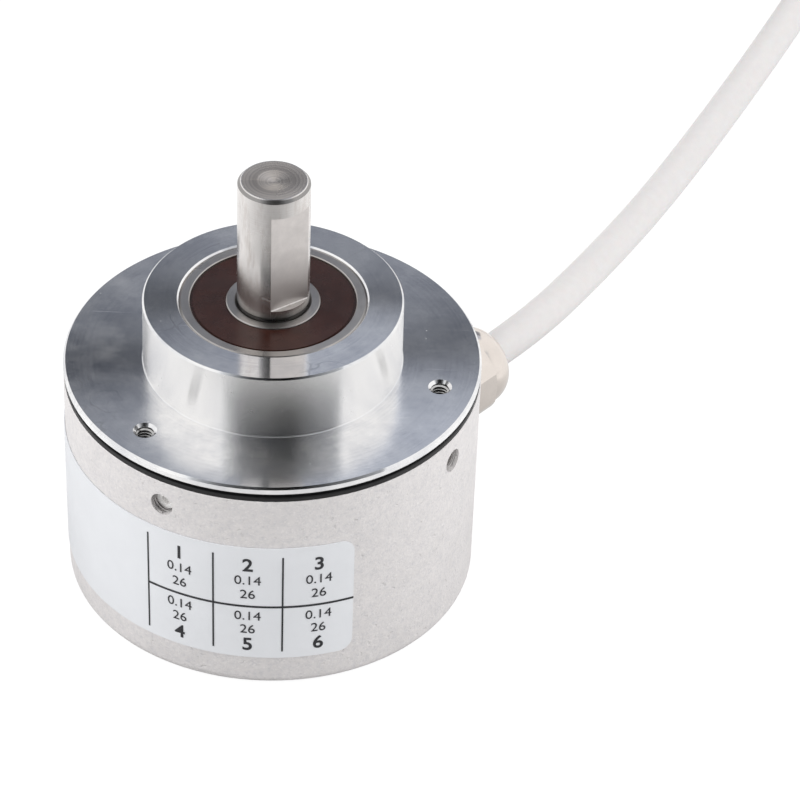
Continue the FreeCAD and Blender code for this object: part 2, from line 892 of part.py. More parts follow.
def make_board_chips():
    """Small packages under the board, with bent pins along both long sides."""
    chips = []
    pin_low = board_bottom - chip_pin_drop
    for angle in chip_angles:
        body = block(chip_radius, chip_width, chip_length, board_bottom - chip_height, board_bottom)
        pieces = []
        for side in (-1, 1):
            edge = chip_radius + side * chip_width / 2
            for k in range(chip_pins):
                y = (k - (chip_pins - 1) / 2) * chip_pin_pitch
                shoulder = block(edge + side * chip_pin_reach / 2, chip_pin_reach, chip_pin_width,
                                 pin_low, pin_low + chip_pin_thickness)
                foot = block(edge + side * (chip_pin_reach - chip_pin_thickness / 2),
                             chip_pin_thickness, chip_pin_width, pin_low, board_bottom)
                pin = shoulder.fuse(foot)
                pin.translate(Vector(0, y, 0))
                pieces.append(pin)
        chips.append(turned_about_axis(body.fuse(pieces).removeSplitter(), angle))
    return chips


def make_capacitors():
    cans = []
    for angle in capacitor_angles:
        low = board_bottom - capacitor_height
        can = disc(capacitor_diameter / 2, low, board_bottom)
        can = can.makeFillet(capacitor_edge, circle_edges(can, capacitor_diameter / 2, low))
        can.translate(Vector(capacitor_radius, 0, 0))
        cans.append(turned_about_axis(can, angle))
    return cans


def terminal_offsets():
    """Places of the terminals across the strip, from one end to the other."""
    return [(k - (core_count - 1) / 2) * terminal_pitch for k in range(core_count)]


def make_terminal_strip():
    """Moulded strip under the board: a wire hole in front and a screw below for each core."""
    bottom = board_bottom - terminal_height
    across = core_count * terminal_pitch + 2 * terminal_margin
    body = block(terminal_radius, terminal_depth, across, bottom, board_bottom)
    front = terminal_radius + terminal_depth / 2
    cuts = []
    for y in terminal_offsets():
        hole = disc(core_diameter / 2 + small_gap, front - terminal_bite, front)
        hole = on_radius(hole, 0, terminal_z)
        hole.translate(Vector(0, y, 0))
        cuts.append(hole)
        cuts.append(post(terminal_screw_radius + small_gap, terminal_radius - terminal_bite, y,
                         bottom, bottom + terminal_screw_length))
    return turned_about_axis(body.cut(cuts), gland_angle)


def make_terminal_screws():
    screws = []
    bottom = board_bottom - terminal_height
    for y in terminal_offsets():
        x = terminal_radius - terminal_bite
        screw = post(terminal_screw_radius, x, y, bottom, bottom + terminal_screw_length)
        slot = block(x, 2 * terminal_screw_radius, terminal_screw_slot,
                     bottom, bottom + terminal_screw_slot)
        slot.translate(Vector(0, y, 0))
        screws.append(turned_about_axis(screw.cut(slot), gland_angle))
    return screws


def on_gland(shape):
    return on_radius(shape, gland_angle, gland_height)


def turned_hexagon(flats, bottom, top):
    """A hexagon whose corners are turned down and chamfered at both ends."""
    low = flats / 2
    shell = revolved([
        (0, bottom),
        (low, bottom),
        (gland_corner_radius, bottom + gland_corner_chamfer),
        (gland_corner_radius, top - gland_corner_chamfer),
        (low, top),
        (0, top),
    ])
    return hexagon_prism(flats, bottom, top).common(shell)


def make_gland_washer():
    return on_gland(ring(gland_stem_radius + small_gap, gland_washer_radius,
                         gland_seat, gland_seat + gland_washer_height))


def make_gland_body():
    """Stem in the cover, hexagon, and a neck with the pocket for the seal."""
    start = gland_seat - gland_stem_length
    hexagon_end = gland_hex_start + gland_body_length
    neck_end = hexagon_end + gland_neck_length
    body = turned_hexagon(gland_flats, gland_hex_start, hexagon_end)
    stem = disc(gland_stem_radius, start, gland_hex_start)
    neck = disc(gland_neck_radius, hexagon_end, neck_end)
    bore = disc(cable_radius + gland_cable_gap, start, neck_end)
    pocket = disc(gland_neck_radius - gland_pocket_wall, neck_end - gland_pocket_depth, neck_end)
    return on_gland(body.fuse([stem, neck]).cut([bore, pocket]).removeSplitter())


def make_gland_seal():
    """Rubber sleeve that the nut squeezes on to the cable."""
    outer = gland_neck_radius - gland_pocket_wall - small_gap
    return on_gland(ring(cable_radius + small_gap, outer, gland_seal_start, gland_thrust_start))


def make_gland_thrust_ring():
    return on_gland(ring(cable_radius + gland_cable_gap, gland_neck_radius - small_gap,
                         gland_thrust_start, gland_thrust_start + gland_thrust_height))


def make_gland_nut():
    """Hexagon nut with a domed end, open for the cable."""
    hexagon_end = gland_nut_start + gland_nut_hex
    mouth = cable_radius + gland_cable_gap
    lip = mouth + gland_mouth_wall
    dome_start = Vector(gland_dome_radius, 0, hexagon_end)
    dome_end = Vector(lip, 0, gland_mouth)
    chord = dome_end - dome_start
    outward = Vector(chord.z, 0, -chord.x).normalize()
    bulge = (dome_start + dome_end) * 0.5 + outward * gland_dome_bulge
    outline = Part.Wire([
        Part.Arc(dome_start, bulge, dome_end).toShape(),
        Part.makeLine(dome_end, Vector(0, 0, gland_mouth)),
        Part.makeLine(Vector(0, 0, gland_mouth), Vector(0, 0, hexagon_end)),
        Part.makeLine(Vector(0, 0, hexagon_end), dome_start),
    ])
    dome = Part.Face(outline).revolve(AXIS_START, UP, 360.0)
    shell = turned_hexagon(gland_flats, gland_nut_start, hexagon_end).fuse(dome)
    thread = disc(gland_neck_radius + 2 * small_gap, gland_nut_start,
                  gland_thrust_start + gland_thrust_height)
    return on_gland(shell.cut([thread, disc(mouth, gland_nut_start, gland_mouth)]))


def make_cable_entry():
    """The lead's stretch inside the gland."""
    start = gland_seat - gland_stem_length - cable_entry_inset
    return on_gland(disc(cable_radius, start, gland_mouth))


def core_ring(k):
    """Place of one core in the lead's section, across and up."""
    turn = math.radians(360.0 * k / core_count)
    return core_circle * math.cos(turn), core_circle * math.sin(turn)


def cores_across():
    """The cores from one side to the other, the upper of two in line counted as further out."""
    cores = [core_ring(k) for k in range(core_count)]
    return sorted(cores, key=lambda core: core[0] * (1 + core[1] / gland_seat))


def make_core_wires():
    """Cores from the lead's end to the terminals, in an order in which none touch."""
    start = gland_seat - gland_stem_length - cable_entry_inset
    front = terminal_radius + terminal_depth / 2
    wires = []
    for (across, up), y in zip(cores_across(), terminal_offsets()):
        height = gland_height + up
        points = [
            Vector(start, across, height),
            Vector(start - core_straight, across, height),
            Vector(front + core_straight, y, terminal_z),
            Vector(front - terminal_bite, y, terminal_z),
        ]
        wire, radii = tube_along(points, core_diameter / 2)
        wires.append(turned_about_axis(wire, gland_angle))
    return wires


def make_cable():
    """The lead from the gland's mouth to the coil, and the radii of its bends."""
    points = [polar(gland_mouth, gland_angle, gland_height)]
    points += [Vector(*point) for point in cable_points]
    points.append(Vector(*cable_end))
    return tube_along(points, cable_radius)


def coil_middle():
    """Centre of the coil, so that the lead runs into its outer turn along a tangent."""
    last = Vector(*cable_end)
    heading = (last - Vector(*cable_points[-1]))
    side = Vector(-heading.y, heading.x, 0).normalize()
    middle = last + side * coil_outer_turn
    return Vector(middle.x, middle.y, 0)


def coil_section(extra):
    """Outline of the wound bundle, grown by extra on every side."""
    low = tie_thickness - extra
    high = tie_thickness + cable_diameter + coil_layer + extra
    inner = coil_inner_turn - cable_radius - extra
    outer = coil_outer_turn + cable_radius + extra
    return rounded_rectangle(inner, low, outer, high, cable_radius + extra)


def rounded_rectangle(x0, z0, x1, z1, corner):
    """Face in the XZ plane with four rounded corners."""
    edges = []
    swing = corner * (1 - math.sqrt(0.5))
    walk = [
        ((x0 + corner, z0), (x1 - corner, z0), (x1 - swing, z0 + swing), (x1, z0 + corner)),
        ((x1, z0 + corner), (x1, z1 - corner), (x1 - swing, z1 - swing), (x1 - corner, z1)),
        ((x1 - corner, z1), (x0 + corner, z1), (x0 + swing, z1 - swing), (x0, z1 - corner)),
        ((x0, z1 - corner), (x0, z0 + corner), (x0 + swing, z0 + swing), (x0 + corner, z0)),
    ]
    for start, end, middle, finish in walk:
        a, b, c, d = [Vector(x, 0, z) for x, z in (start, end, middle, finish)]
        edges.append(Part.makeLine(a, b))
        edges.append(Part.Arc(b, c, d).toShape())
    return Part.Face(Part.Wire(edges))


def make_coil():
    """Outer shape of the wound bundle."""
    bundle = coil_section(0).revolve(AXIS_START, UP, 360.0)
    bundle.translate(coil_middle())
    return bundle


def make_coil_ties():
    """Two flat bands round the wound bundle."""
    ties = []
    for place in tie_places:
        band = coil_section(tie_thickness).cut(coil_section(0))
        band.rotate(AXIS_START, UP, place)
        tie = band.revolve(AXIS_START, UP, tie_angle)
        tie.translate(coil_middle())
        ties.append(tie)
    return ties


def make_cable_tail():
    """The lead from the coil's upper layer to its bare end, and the radii of its bends."""
    start = coil_middle() + polar(coil_outer_turn, coil_exit_angle, tail_z)
    return tube_along([start] + [Vector(*point) for point in tail_points], cable_radius)


def make_leads():
    """Loose cores at the lead's end, fanned out and lying down, and their bare tips."""
    before, end = [Vector(*point) for point in tail_points[-2:]]
    heading = (end - before).normalize()
    side = Vector(-heading.y, heading.x, 0)
    reach = lead_length + tip_length
    wires = []
    tips = []
    for k, (across, up) in enumerate(cores_across()):
        begin = end + side * across + UP * up
        bend = begin + heading * lead_straight
        fan = lead_fan * (k - (core_count - 1) / 2)
        aim = bend + (heading + side * fan) * reach
        aim.z = core_diameter / 2
        direction = (aim - bend).normalize()
        finish = bend + direction * lead_length
        wire, radii = tube_along([begin, bend, finish], core_diameter / 2)
        wires.append(wire)
        tips.append(Part.makeCylinder(tip_diameter / 2, tip_length, finish, direction))
    return wires, tips


def main():
    os.makedirs("parts", exist_ok=True)
    front = bearing(shaft_diameter, front_bearing_outside, front_bearing_width, front_ball, front_bottom)
    rear = bearing(rear_bearing_bore, rear_bearing_outside, rear_bearing_width, rear_ball, rear_bottom)
    cable, radii = make_cable()
    tail, tail_radii = make_cable_tail()
    leads, tips = make_leads()
    nodes = {
        "flange": make_flange(),
        "housing_cover": make_cover(),
        "cover_seal": make_cover_seal(),
        "cover_screws": make_cover_screws(),
        "label": make_label(),
        "shaft": make_shaft(),
        "front_bearing_outer_ring": front["outer_ring"],
        "front_bearing_inner_ring": front["inner_ring"],
        "front_bearing_balls": front["balls"],
        "front_bearing_cage": front["cage"],
        "front_bearing_front_seal": front["upper_seal"],
        "front_bearing_rear_seal": front["lower_seal"],
        "rear_bearing_outer_ring": rear["outer_ring"],
        "rear_bearing_inner_ring": rear["inner_ring"],
        "rear_bearing_balls": rear["balls"],
        "rear_bearing_cage": rear["cage"],
        "rear_bearing_front_shield": rear["upper_seal"],
        "rear_bearing_rear_shield": rear["lower_seal"],
        "preload_spring": make_preload_spring(),
        "retaining_ring": make_retaining_ring(),
        "disc_hub": make_disc_hub(),
        "code_disc": make_code_disc(),
        "disc_clamp": ring(hub_boss_radius + small_gap, disc_clamp_radius,
                           disc_bottom - disc_clamp_height, disc_bottom),
        "hub_screw": make_hub_screw(),
        "led_holder": make_led_holder(),
        "led": make_led(),
        "led_lens": make_led_lens(),
        "led_screws": make_led_screws(),
        "main_board": make_main_board(),
        "board_standoffs": make_standoffs(),
        "board_screws": make_board_screws(),
        "sensor_chip": make_sensor_chip(),
        "mask_plate": make_mask_plate(),
        "board_chips": make_board_chips(),
        "board_capacitors": make_capacitors(),
        "terminal_strip": make_terminal_strip(),
        "terminal_screws": make_terminal_screws(),
        "gland_washer": make_gland_washer(),
        "gland_body": make_gland_body(),
        "gland_seal": make_gland_seal(),
        "gland_thrust_ring": make_gland_thrust_ring(),
        "gland_nut": make_gland_nut(),
        "cable_entry": make_cable_entry(),
        "core_wires": make_core_wires(),
        "cable": cable,
        "cable_coil": make_coil(),
        "coil_ties": make_coil_ties(),
        "cable_tail": tail,
        "lead_wires": leads,
        "lead_tips": tips,
    }
    for node, shape in nodes.items():
        if isinstance(shape, list):
            shape = Part.makeCompound(shape)
        export(shape, node)
    print("bend radii of the lead", [round(radius, 1) for radius in radii + tail_radii])


main()
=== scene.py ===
"""Incremental rotary encoder with a clamping flange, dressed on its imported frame."""

import json
import math

import bpy
from bpy.props import FloatProperty, FloatVectorProperty, IntProperty, PointerProperty
from mathutils import Matrix, Vector


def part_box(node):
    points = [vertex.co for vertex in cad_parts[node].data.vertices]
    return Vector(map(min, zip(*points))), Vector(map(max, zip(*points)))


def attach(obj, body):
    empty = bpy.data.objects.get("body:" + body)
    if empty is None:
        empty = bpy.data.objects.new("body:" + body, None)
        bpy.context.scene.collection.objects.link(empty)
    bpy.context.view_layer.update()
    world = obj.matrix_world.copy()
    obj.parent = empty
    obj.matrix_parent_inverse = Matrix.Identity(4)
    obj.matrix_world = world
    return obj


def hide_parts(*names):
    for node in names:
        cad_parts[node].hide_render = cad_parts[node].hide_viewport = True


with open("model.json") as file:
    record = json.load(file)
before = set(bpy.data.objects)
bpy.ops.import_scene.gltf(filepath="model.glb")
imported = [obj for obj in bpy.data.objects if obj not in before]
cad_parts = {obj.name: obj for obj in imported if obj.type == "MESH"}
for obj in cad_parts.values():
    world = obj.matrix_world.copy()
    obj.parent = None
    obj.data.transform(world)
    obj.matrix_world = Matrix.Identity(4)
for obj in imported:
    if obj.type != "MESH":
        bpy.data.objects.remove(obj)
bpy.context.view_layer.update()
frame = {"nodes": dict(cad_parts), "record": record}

bl_info = {
    "name": "Rotary encoder",
    "version": (1, 0, 0),
    "blender": (4, 5, 0),
    "location": "View3D > Sidebar > Encoder",
    "description": "Finishes, label, threads and lead of an incremental rotary encoder",
    "category": "Object",
}

MM = 0.001
WHOLE_TURN = 2 * math.pi
QUARTER_TURN = math.pi / 2
MERGE_DISTANCE = 1e-7
MOUNTS = {mount["name"]: mount for mount in frame["record"]["mounts"]}
FLANGE_FACE = MOUNTS["flange_face"]["pos_m"][2]
BOLT_CIRCLE = MOUNTS["flange_bolts"]["dims"]["pcd_mm"] * MM / 2
BOLT_HOLE = MOUNTS["flange_bolts"]["dims"]["hole_r_mm"] * MM
COVER_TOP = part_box("housing_cover")[1][2]
RIM_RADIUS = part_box("flange")[1][0]
SPIGOT_RADIUS = MOUNTS["pilot_spigot"]["dims"]["r_mm"] * MM
SPIGOT_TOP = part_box("flange")[1][2]
SHAFT_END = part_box("shaft")[1][2]
SCREW_HEIGHT = (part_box("cover_screws")[0][2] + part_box("cover_screws")[1][2]) / 2
FLAT_NORMAL = Vector(MOUNTS["shaft_flat"]["axis"])
FLAT_REACH = Vector(MOUNTS["shaft_flat"]["pos_m"]).dot(FLAT_NORMAL)


def length(name, description, default):
    return FloatProperty(name=name, description=description, default=default, unit="LENGTH", precision=6)


def angle(name, description, degrees):
    return FloatProperty(name=name, description=description, default=math.radians(degrees), subtype="ANGLE")


def colour(name, description, red, green, blue):
    return FloatVectorProperty(name=name, description=description, default=(red, green, blue, 1.0),
                               size=4, min=0.0, max=1.0, subtype="COLOR")


def spot(name, description, x, y, z):
    return FloatVectorProperty(name=name, description=description, default=(x, y, z),
                               size=3, subtype="TRANSLATION")


def amount(name, description, default):
    return FloatProperty(name=name, description=description, default=default, subtype="FACTOR",
                         min=0.0, max=4.0)


def measure(name, description, default, unit, least=0.0):
    return FloatProperty(name=name, description=description, default=default, unit=unit, min=least)


def count(name, description, default, least=1):
    return IntProperty(name=name, description=description, default=default, min=least)


class EncoderLabel(bpy.types.PropertyGroup):
    """Sizes of the sticker on the cover and of what is printed on it"""
    left: angle("Left edge", "Angle of the label's left edge round the shaft", -205.0)
    right: angle("Right edge", "Angle of the label's right edge round the shaft", -65.0)
    bottom: length("Bottom", "Height of the label's lower edge", 0.0052)
    height: length("Height", "Height of the label", 0.0198)
    corner: length("Corner", "Radius of the label's corners", 0.002)
    film: length("Film", "Thickness of the label's film", 0.00013)
    glue: length("Glue", "Gap between the cover and the film", 0.00003)
    ink: length("Ink", "Thickness of the printed layer", 0.00003)
    ink_gap: length("Ink gap", "Gap between the film and the printed layer", 0.00002)
    draft: angle("Draft", "Draft of the cast cover that the label follows", 0.7)
    fine_rule: length("Fine rule", "Width of the upright rules", 0.00024)
    bold_rule: length("Bold rule", "Width of the rule between the rows", 0.00034)
    row_rule: length("Row rule", "Height of the rule between the rows", 0.0145)
    table_low: length("Table's foot", "Height of the upright rules' lower ends", 0.0064)
    table_high: length("Table's head", "Height of the upright rules' upper ends", 0.0234)
    large_figure: length("Large figures", "Size of the large figures", 0.0031)
    small_figure: length("Small figures", "Size of the small figures", 0.0022)
    strip: length("Strip", "Width of the strips that bend round the cover", 0.0007)


class EncoderThreads(bpy.types.PropertyGroup):
    """Sizes of the tapped threads that show in the flange and in the cover"""
    pitch: length("Pitch", "Pitch of the threads", 0.0005)
    ridge: length("Ridge", "Height of a thread's ridge", 0.00017)
    depth: length("Depth", "Depth of the mounting threads", 0.0054)
    lead_in: length("Lead-in", "Depth of the chamfer above the first ridge", 0.00042)
    first: angle("First hole", "Angle of the first mounting hole round the shaft", -134.0)
    holes: count("Holes", "Number of mounting holes", 3)
    steps: count("Steps", "Faces round one turn of a thread", 40, 12)
    set_hole: length("Set screw hole", "Radius of the set screws' holes in the cover", 0.0017)
    set_first: angle("First set screw", "Angle of the first set screw round the shaft", -119.0)
    set_start: length("Set screw threads", "Distance of the inmost set screw thread from the axis", 0.0272)
    set_holes: count("Set screws", "Number of set screws", 4)
    set_turns: count("Set screw turns", "Turns of a set screw's thread", 3)


class EncoderLead(bpy.types.PropertyGroup):
    """Sizes of the lead, of its coil and of its cores"""
    diameter: length("Diameter", "Outside diameter of the lead", 0.0054)
    real_length: length("Length", "Real length of the lead", 1.49)
    gland: angle("Gland angle", "Direction of the gland round the shaft", 48.5)
    gland_height: length("Gland height", "Height of the gland's axis", 0.0099)
    mouth: length("Mouth", "Distance of the gland's mouth from the shaft's axis", 0.045966)
    inner_turn: length("Inner turn", "Radius of the coil's inner turn", 0.0230)
    outer_turn: length("Outer turn", "Radius of the coil's outer turn", 0.040188)
    lower_layer: length("Lower layer", "Height of the coil's lower layer", 0.0033)
    upper_layer: length("Upper layer", "Height of the coil's upper layer", 0.0088)
    leaving: angle("Leaving angle", "Where the tail leaves the coil", 90.0)
    turns: count("Turns", "Whole turns of the coil", 6)
    turn_points: count("Points a turn", "Control points in a turn", 24, 12)
    core: length("Core", "Diameter of one insulated core", 0.001)
    core_circle: length("Core circle", "Radius of the circle that the cores lie on", 0.0015)
    core_straight: length("Core straight", "Straight length of a core at the lead's end", 0.004)
    core_length: length("Core length", "Length of a loose core after its straight part", 0.02)
    tip_length: length("Tip length", "Length of a core's bare tip", 0.005)
    fan: amount("Fan", "Sideways spread of one core to the next", 0.1)
    core_start: length("Core start", "Distance of an inner core's start from the axis", 0.022266)
    core_bend: length("Core bend", "Distance of an inner core's first bend from the axis", 0.020266)
    core_level: length("Core level", "Where an inner core comes level with its terminal", 0.0155)
    core_stop: length("Core stop", "Distance of an inner core's end from the axis", 0.0127)
    terminal_height: length("Terminal height", "Height of the terminals' openings", 0.0141)
    terminal_pitch: length("Terminal pitch", "Distance from one terminal to the next", 0.002)


class EncoderColours(bpy.types.PropertyGroup):
    """Colours of the finishes"""
    aluminium: colour("Aluminium", "Turned flange", 0.975, 0.967, 0.96)
    cast: colour("Casting", "Cast cover", 0.80, 0.772, 0.765)
    stain: colour("Stain", "Handled places on the flange", 0.70, 0.705, 0.735)
    shaft: colour("Shaft", "Ground shaft", 0.85, 0.82, 0.80)
    flat: colour("Flat", "Milled flat on the shaft", 0.86, 0.815, 0.79)
    steel: colour("Steel", "Bearing rings and balls", 0.55, 0.525, 0.505)
    seal: colour("Bearing seal", "Seal in the bearing", 0.038, 0.012, 0.008)
    rubber: colour("Rubber", "Gasket and gland seal", 0.012, 0.012, 0.013)
    nickel: colour("Nickel", "Plated gland", 0.84, 0.77, 0.715)
    jacket: colour("Jacket", "Lead's jacket", 0.672, 0.652, 0.648)
    film: colour("Film", "Label's film", 0.755, 0.768, 0.795)
    ink: colour("Ink", "Label's print", 0.035, 0.035, 0.04)
    board: colour("Board", "Solder mask", 0.02, 0.16, 0.06)
    brass: colour("Brass", "Board's spacers", 0.66, 0.45, 0.18)
    plastic: colour("Plastic", "Dark mouldings", 0.022, 0.022, 0.024)
    cage: colour("Cage", "Bearing cages", 0.62, 0.54, 0.40)


class EncoderStage(bpy.types.PropertyGroup):
    """Camera and light"""
    lens: measure("Lens", "Focal length in millimetres", 221.35, "CAMERA", 1.0)
    elevation: angle("Elevation", "How far the camera looks down", 38.414)
    roll: angle("Roll", "How far the camera leans", 1.708)
    camera: spot("Camera", "Place of the camera", 0.01782, -0.5375, 0.4546)
    aim: spot("Aim", "Point that the lamps look at", 0.0, 0.0, 0.03)
    ambient: amount("Ambient", "Even light from all round", 0.775)
    floor: colour("Floor", "Colour of the floor in scattered light", 0.62, 0.62, 0.62)
    floor_glow: amount("Floor's glow", "How white the floor looks to the camera", 1.16)
    floor_share: amount("Floor's share", "Share of that glow, the rest being lit floor", 0.8)
    key: measure("Key lamp", "Power of the lamp on the left, in watts", 6.8, "POWER")
    key_place: spot("Key lamp's place", "Place of the lamp on the left", -0.92, -0.18, 0.60)
    key_size: length("Key lamp's size", "Width of the lamp on the left", 0.7)
    fill: measure("Fill lamp", "Power of the lamp on the right, in watts", 6.0, "POWER")
    fill_place: spot("Fill lamp's place", "Place of the lamp on the right", 0.92, -0.12, 0.52)
    fill_size: length("Fill lamp's size", "Width of the lamp on the right", 0.8)


# Steps that every new piece shares


def edit_all():
    """Enter edit mode with all of the active piece selected."""
    bpy.ops.object.mode_set(mode="EDIT")
    bpy.ops.mesh.select_all(action="SELECT")


def leave_edit():
    bpy.ops.object.mode_set(mode="OBJECT")


def deselect():
    """Leave edit mode and drop the selection, so that the next operator acts on its own piece."""
    if bpy.context.object and bpy.context.object.mode != "OBJECT":
        leave_edit()
    bpy.ops.object.select_all(action="DESELECT")


def only(piece):
    """Select one piece and make it the active one."""
    deselect()
    piece.select_set(True)
    bpy.context.view_layer.objects.active = piece


def apply_modifiers(piece):
    only(piece)
    for modifier in list(piece.modifiers):
        bpy.ops.object.modifier_apply(modifier=modifier.name)


def smooth_below(degrees):
    """Shade the active piece smooth, apart from edges sharper than this."""
    bpy.ops.object.shade_smooth_by_angle(angle=math.radians(degrees))


def settle(piece, name, body, slot, material, *nodes):
    """Name a finished piece, give it its material and tie it to its CAD body."""
    piece.name = name
    piece.data.name = name
    piece.data.materials.clear()
    piece.data.materials.append(material)
    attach(piece, body)
    if nodes:
        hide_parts(*nodes)
    return piece


def dress(material, *nodes):
    """Give CAD nodes a finish in place of their plain one."""
    for name in nodes:
        mesh = frame["nodes"][name].data
        mesh.materials.clear()
        mesh.materials.append(material)


# Shader trees and the groups that finishes share

GROUPS = {}


class Sheet:
    """Lays out the nodes of one shader tree."""

    def __init__(self, tree):
        self.tree = tree

    def node(self, kind, **values):
        made = self.tree.nodes.new("ShaderNode" + kind)
        for key, value in values.items():
            setattr(made, key, value)
        return made

    def feed(self, socket, value):
        """Link a socket to where its value comes from, or set it to a plain value."""
        if isinstance(value, bpy.types.NodeSocket):
            self.tree.links.new(value, socket)
        else:
            socket.default_value = value

    def reckon(self, operation, *values):
        """The result of one Math node."""
        made = self.node("Math", operation=operation)
        for socket, value in zip(made.inputs, values):
            self.feed(socket, value)
        return made.outputs[0]

    def chain(self, operation, first, *others):
        for other in others:
            first = self.reckon(operation, first, other)
        return first

    def times(self, *values):
        return self.chain("MULTIPLY", *values)

    def plus(self, *values):
        return self.chain("ADD", *values)

    def most(self, *values):
        return self.chain("MAXIMUM", *values)

    def minus(self, first, second):
        return self.reckon("SUBTRACT", first, second)

    def size_of(self, value):
        return self.reckon("ABSOLUTE", value)

    def under(self, value, limit):
        return self.reckon("LESS_THAN", value, limit)

    def over(self, value, limit):
        return self.reckon("GREATER_THAN", value, limit)

    def near(self, value, wanted, reach):
        """One where a value lies within reach of the wanted one, and zero elsewhere."""
        return self.under(self.size_of(self.minus(value, wanted)), reach)

    def vector(self, operation, *values):
        """The outputs of one Vector Math node."""
        made = self.node("VectorMath", operation=operation)
        for socket, value in zip(made.inputs, values):
            self.feed(socket, value)
        return made.outputs

    def place(self):
        """Coordinates on the piece itself."""
        return self.node("TexCoord").outputs["Object"]

    def axes(self):
        """The three parts of the coordinates on the piece."""
        parts = self.node("SeparateXYZ")
        self.feed(parts.inputs[0], self.place())
        return parts.outputs

    def noise(self, vector, scale, detail=4.0, rough=0.55):
        made = self.node("TexNoise")
        wanted = {"Vector": vector, "Scale": scale, "Detail": detail, "Roughness": rough}
        for socket, value in wanted.items():
            self.feed(made.inputs[socket], value)
        return made.outputs["Fac"]

    def cells(self, scale):
        """Random cells: the distance to a cell's middle, and the parts of its random colour."""
        made = self.node("TexVoronoi")
        self.feed(made.inputs["Vector"], self.place())
        self.feed(made.inputs["Scale"], scale)
        chance = self.node("SeparateColor")
        self.feed(chance.inputs[0], made.outputs["Color"])
        return made.outputs["Distance"], chance.outputs

    def ramp(self, value, low, high, start=0.0, end=1.0):
        """From start to end while a value goes from low to high."""
        made = self.node("MapRange")
        wanted = {"Value": value, "From Min": low, "From Max": high, "To Min": start, "To Max": end}
        for socket, given in wanted.items():
            self.feed(made.inputs[socket], given)
        return made.outputs["Result"]

    def mix(self, factor, first, second):
        """One colour where the factor is zero, and the other where it is one."""
        made = self.node("Mix", data_type="RGBA")
        colours = [socket for socket in made.inputs if socket.type == "RGBA"]
        self.feed(made.inputs["Factor"], factor)
        self.feed(colours[0], first)
        self.feed(colours[1], second)
        return [socket for socket in made.outputs if socket.type == "RGBA"][0]

    def bump(self, shader, height, distance):
        made = self.node("Bump")
        made.inputs["Strength"].default_value = 1.0
        made.inputs["Distance"].default_value = distance
        self.feed(made.inputs["Height"], height)
        self.feed(shader["Normal"], made.outputs["Normal"])

    def group(self, build, **values):
        """Place a shader group with its own values. The group is built on its first use."""
        if build not in GROUPS:
            GROUPS[build] = build()
        made = self.node("Group", node_tree=GROUPS[build])
        for socket, value in values.items():
            made.inputs[socket].default_value = value
        return made.outputs

    def put_out(self, **results):
        """Name what a shader group puts out."""
        for name, value in results.items():
            kind = "NodeSocketColor" if value.type == "RGBA" else "NodeSocketFloat"
            self.tree.interface.new_socket(name=name, in_out="OUTPUT", socket_type=kind)
        end = self.tree.nodes.new("NodeGroupOutput")
        for name, value in results.items():
            self.tree.links.new(value, end.inputs[name])
        return self.tree


def shader_group(name, **inputs):
    """A new shader group and its named inputs."""
    tree = bpy.data.node_groups.new(name, "ShaderNodeTree")
    for socket, default in inputs.items():
        kind = "NodeSocketColor" if isinstance(default, tuple) else "NodeSocketFloat"
        made = tree.interface.new_socket(name=socket, in_out="INPUT", socket_type=kind)
        made.default_value = default
    return Sheet(tree), tree.nodes.new("NodeGroupInput").outputs


def mottle():
    """Clouds of two shades, with a roughness that wanders on its own."""
    sheet, given = shader_group("mottle", Light=(0.8, 0.8, 0.8, 1.0), Dark=(0.6, 0.6, 0.6, 1.0),
                                Scale=300.0, Smooth=0.3, Rough=0.5)
    place = sheet.place()
    cloud = sheet.noise(place, given["Scale"], detail=6.0, rough=0.62)
    shades = sheet.mix(sheet.ramp(cloud, 0.36, 0.66), given["Dark"], given["Light"])
    wide = sheet.noise(place, sheet.times(given["Scale"], 0.37), detail=3.0)
    rough = sheet.ramp(wide, 0.35, 0.65, given["Smooth"], given["Rough"])
    return sheet.put_out(Color=shades, Roughness=rough, Height=cloud)


def turning_lines():
    """Lathe lines: rings round the shaft's axis on faces, and hoops on walls."""
    sheet, given = shader_group("turning lines", Lines=6000.0)
    x, y, z = sheet.axes()
    radius = sheet.reckon("SQRT", sheet.plus(sheet.times(x, x), sheet.times(y, y)))
    section = sheet.node("CombineXYZ")
    sheet.feed(section.inputs[0], radius)
    sheet.feed(section.inputs[1], z)
    lines = sheet.noise(section.outputs[0], given["Lines"], detail=3.0, rough=0.7)
    return sheet.put_out(Height=lines, Mask=sheet.ramp(lines, 0.40, 0.62), Radius=radius)


def scratches():
    """Sparse fine scratches in two directions, and thin loops as from rubbing."""
    sheet, given = shader_group("scratches", Scale=60.0)
    place = sheet.place()
    masks = []
    for turn, least in ((0.6, 0.72), (-0.9, 0.73)):
        mapping = sheet.node("Mapping")
        mapping.inputs["Rotation"].default_value = (0.3, 0.2, turn)
        mapping.inputs["Scale"].default_value = (1.0, 42.0, 14.0)
        sheet.feed(mapping.inputs["Vector"], place)
        streaks = sheet.noise(mapping.outputs["Vector"], given["Scale"], detail=2.0, rough=0.4)
        masks.append(sheet.ramp(streaks, least, least + 0.05))
    hills = sheet.noise(place, sheet.times(given["Scale"], 3.2), detail=1.0, rough=0.3)
    contour = sheet.ramp(sheet.size_of(sheet.minus(hills, 0.5)), 0.003, 0.009, 1.0, 0.0)
    rubbed = sheet.ramp(sheet.noise(place, given["Scale"], detail=1.0, rough=0.3), 0.60, 0.70)
    return sheet.put_out(Mask=sheet.most(*masks), Loops=sheet.times(contour, rubbed))


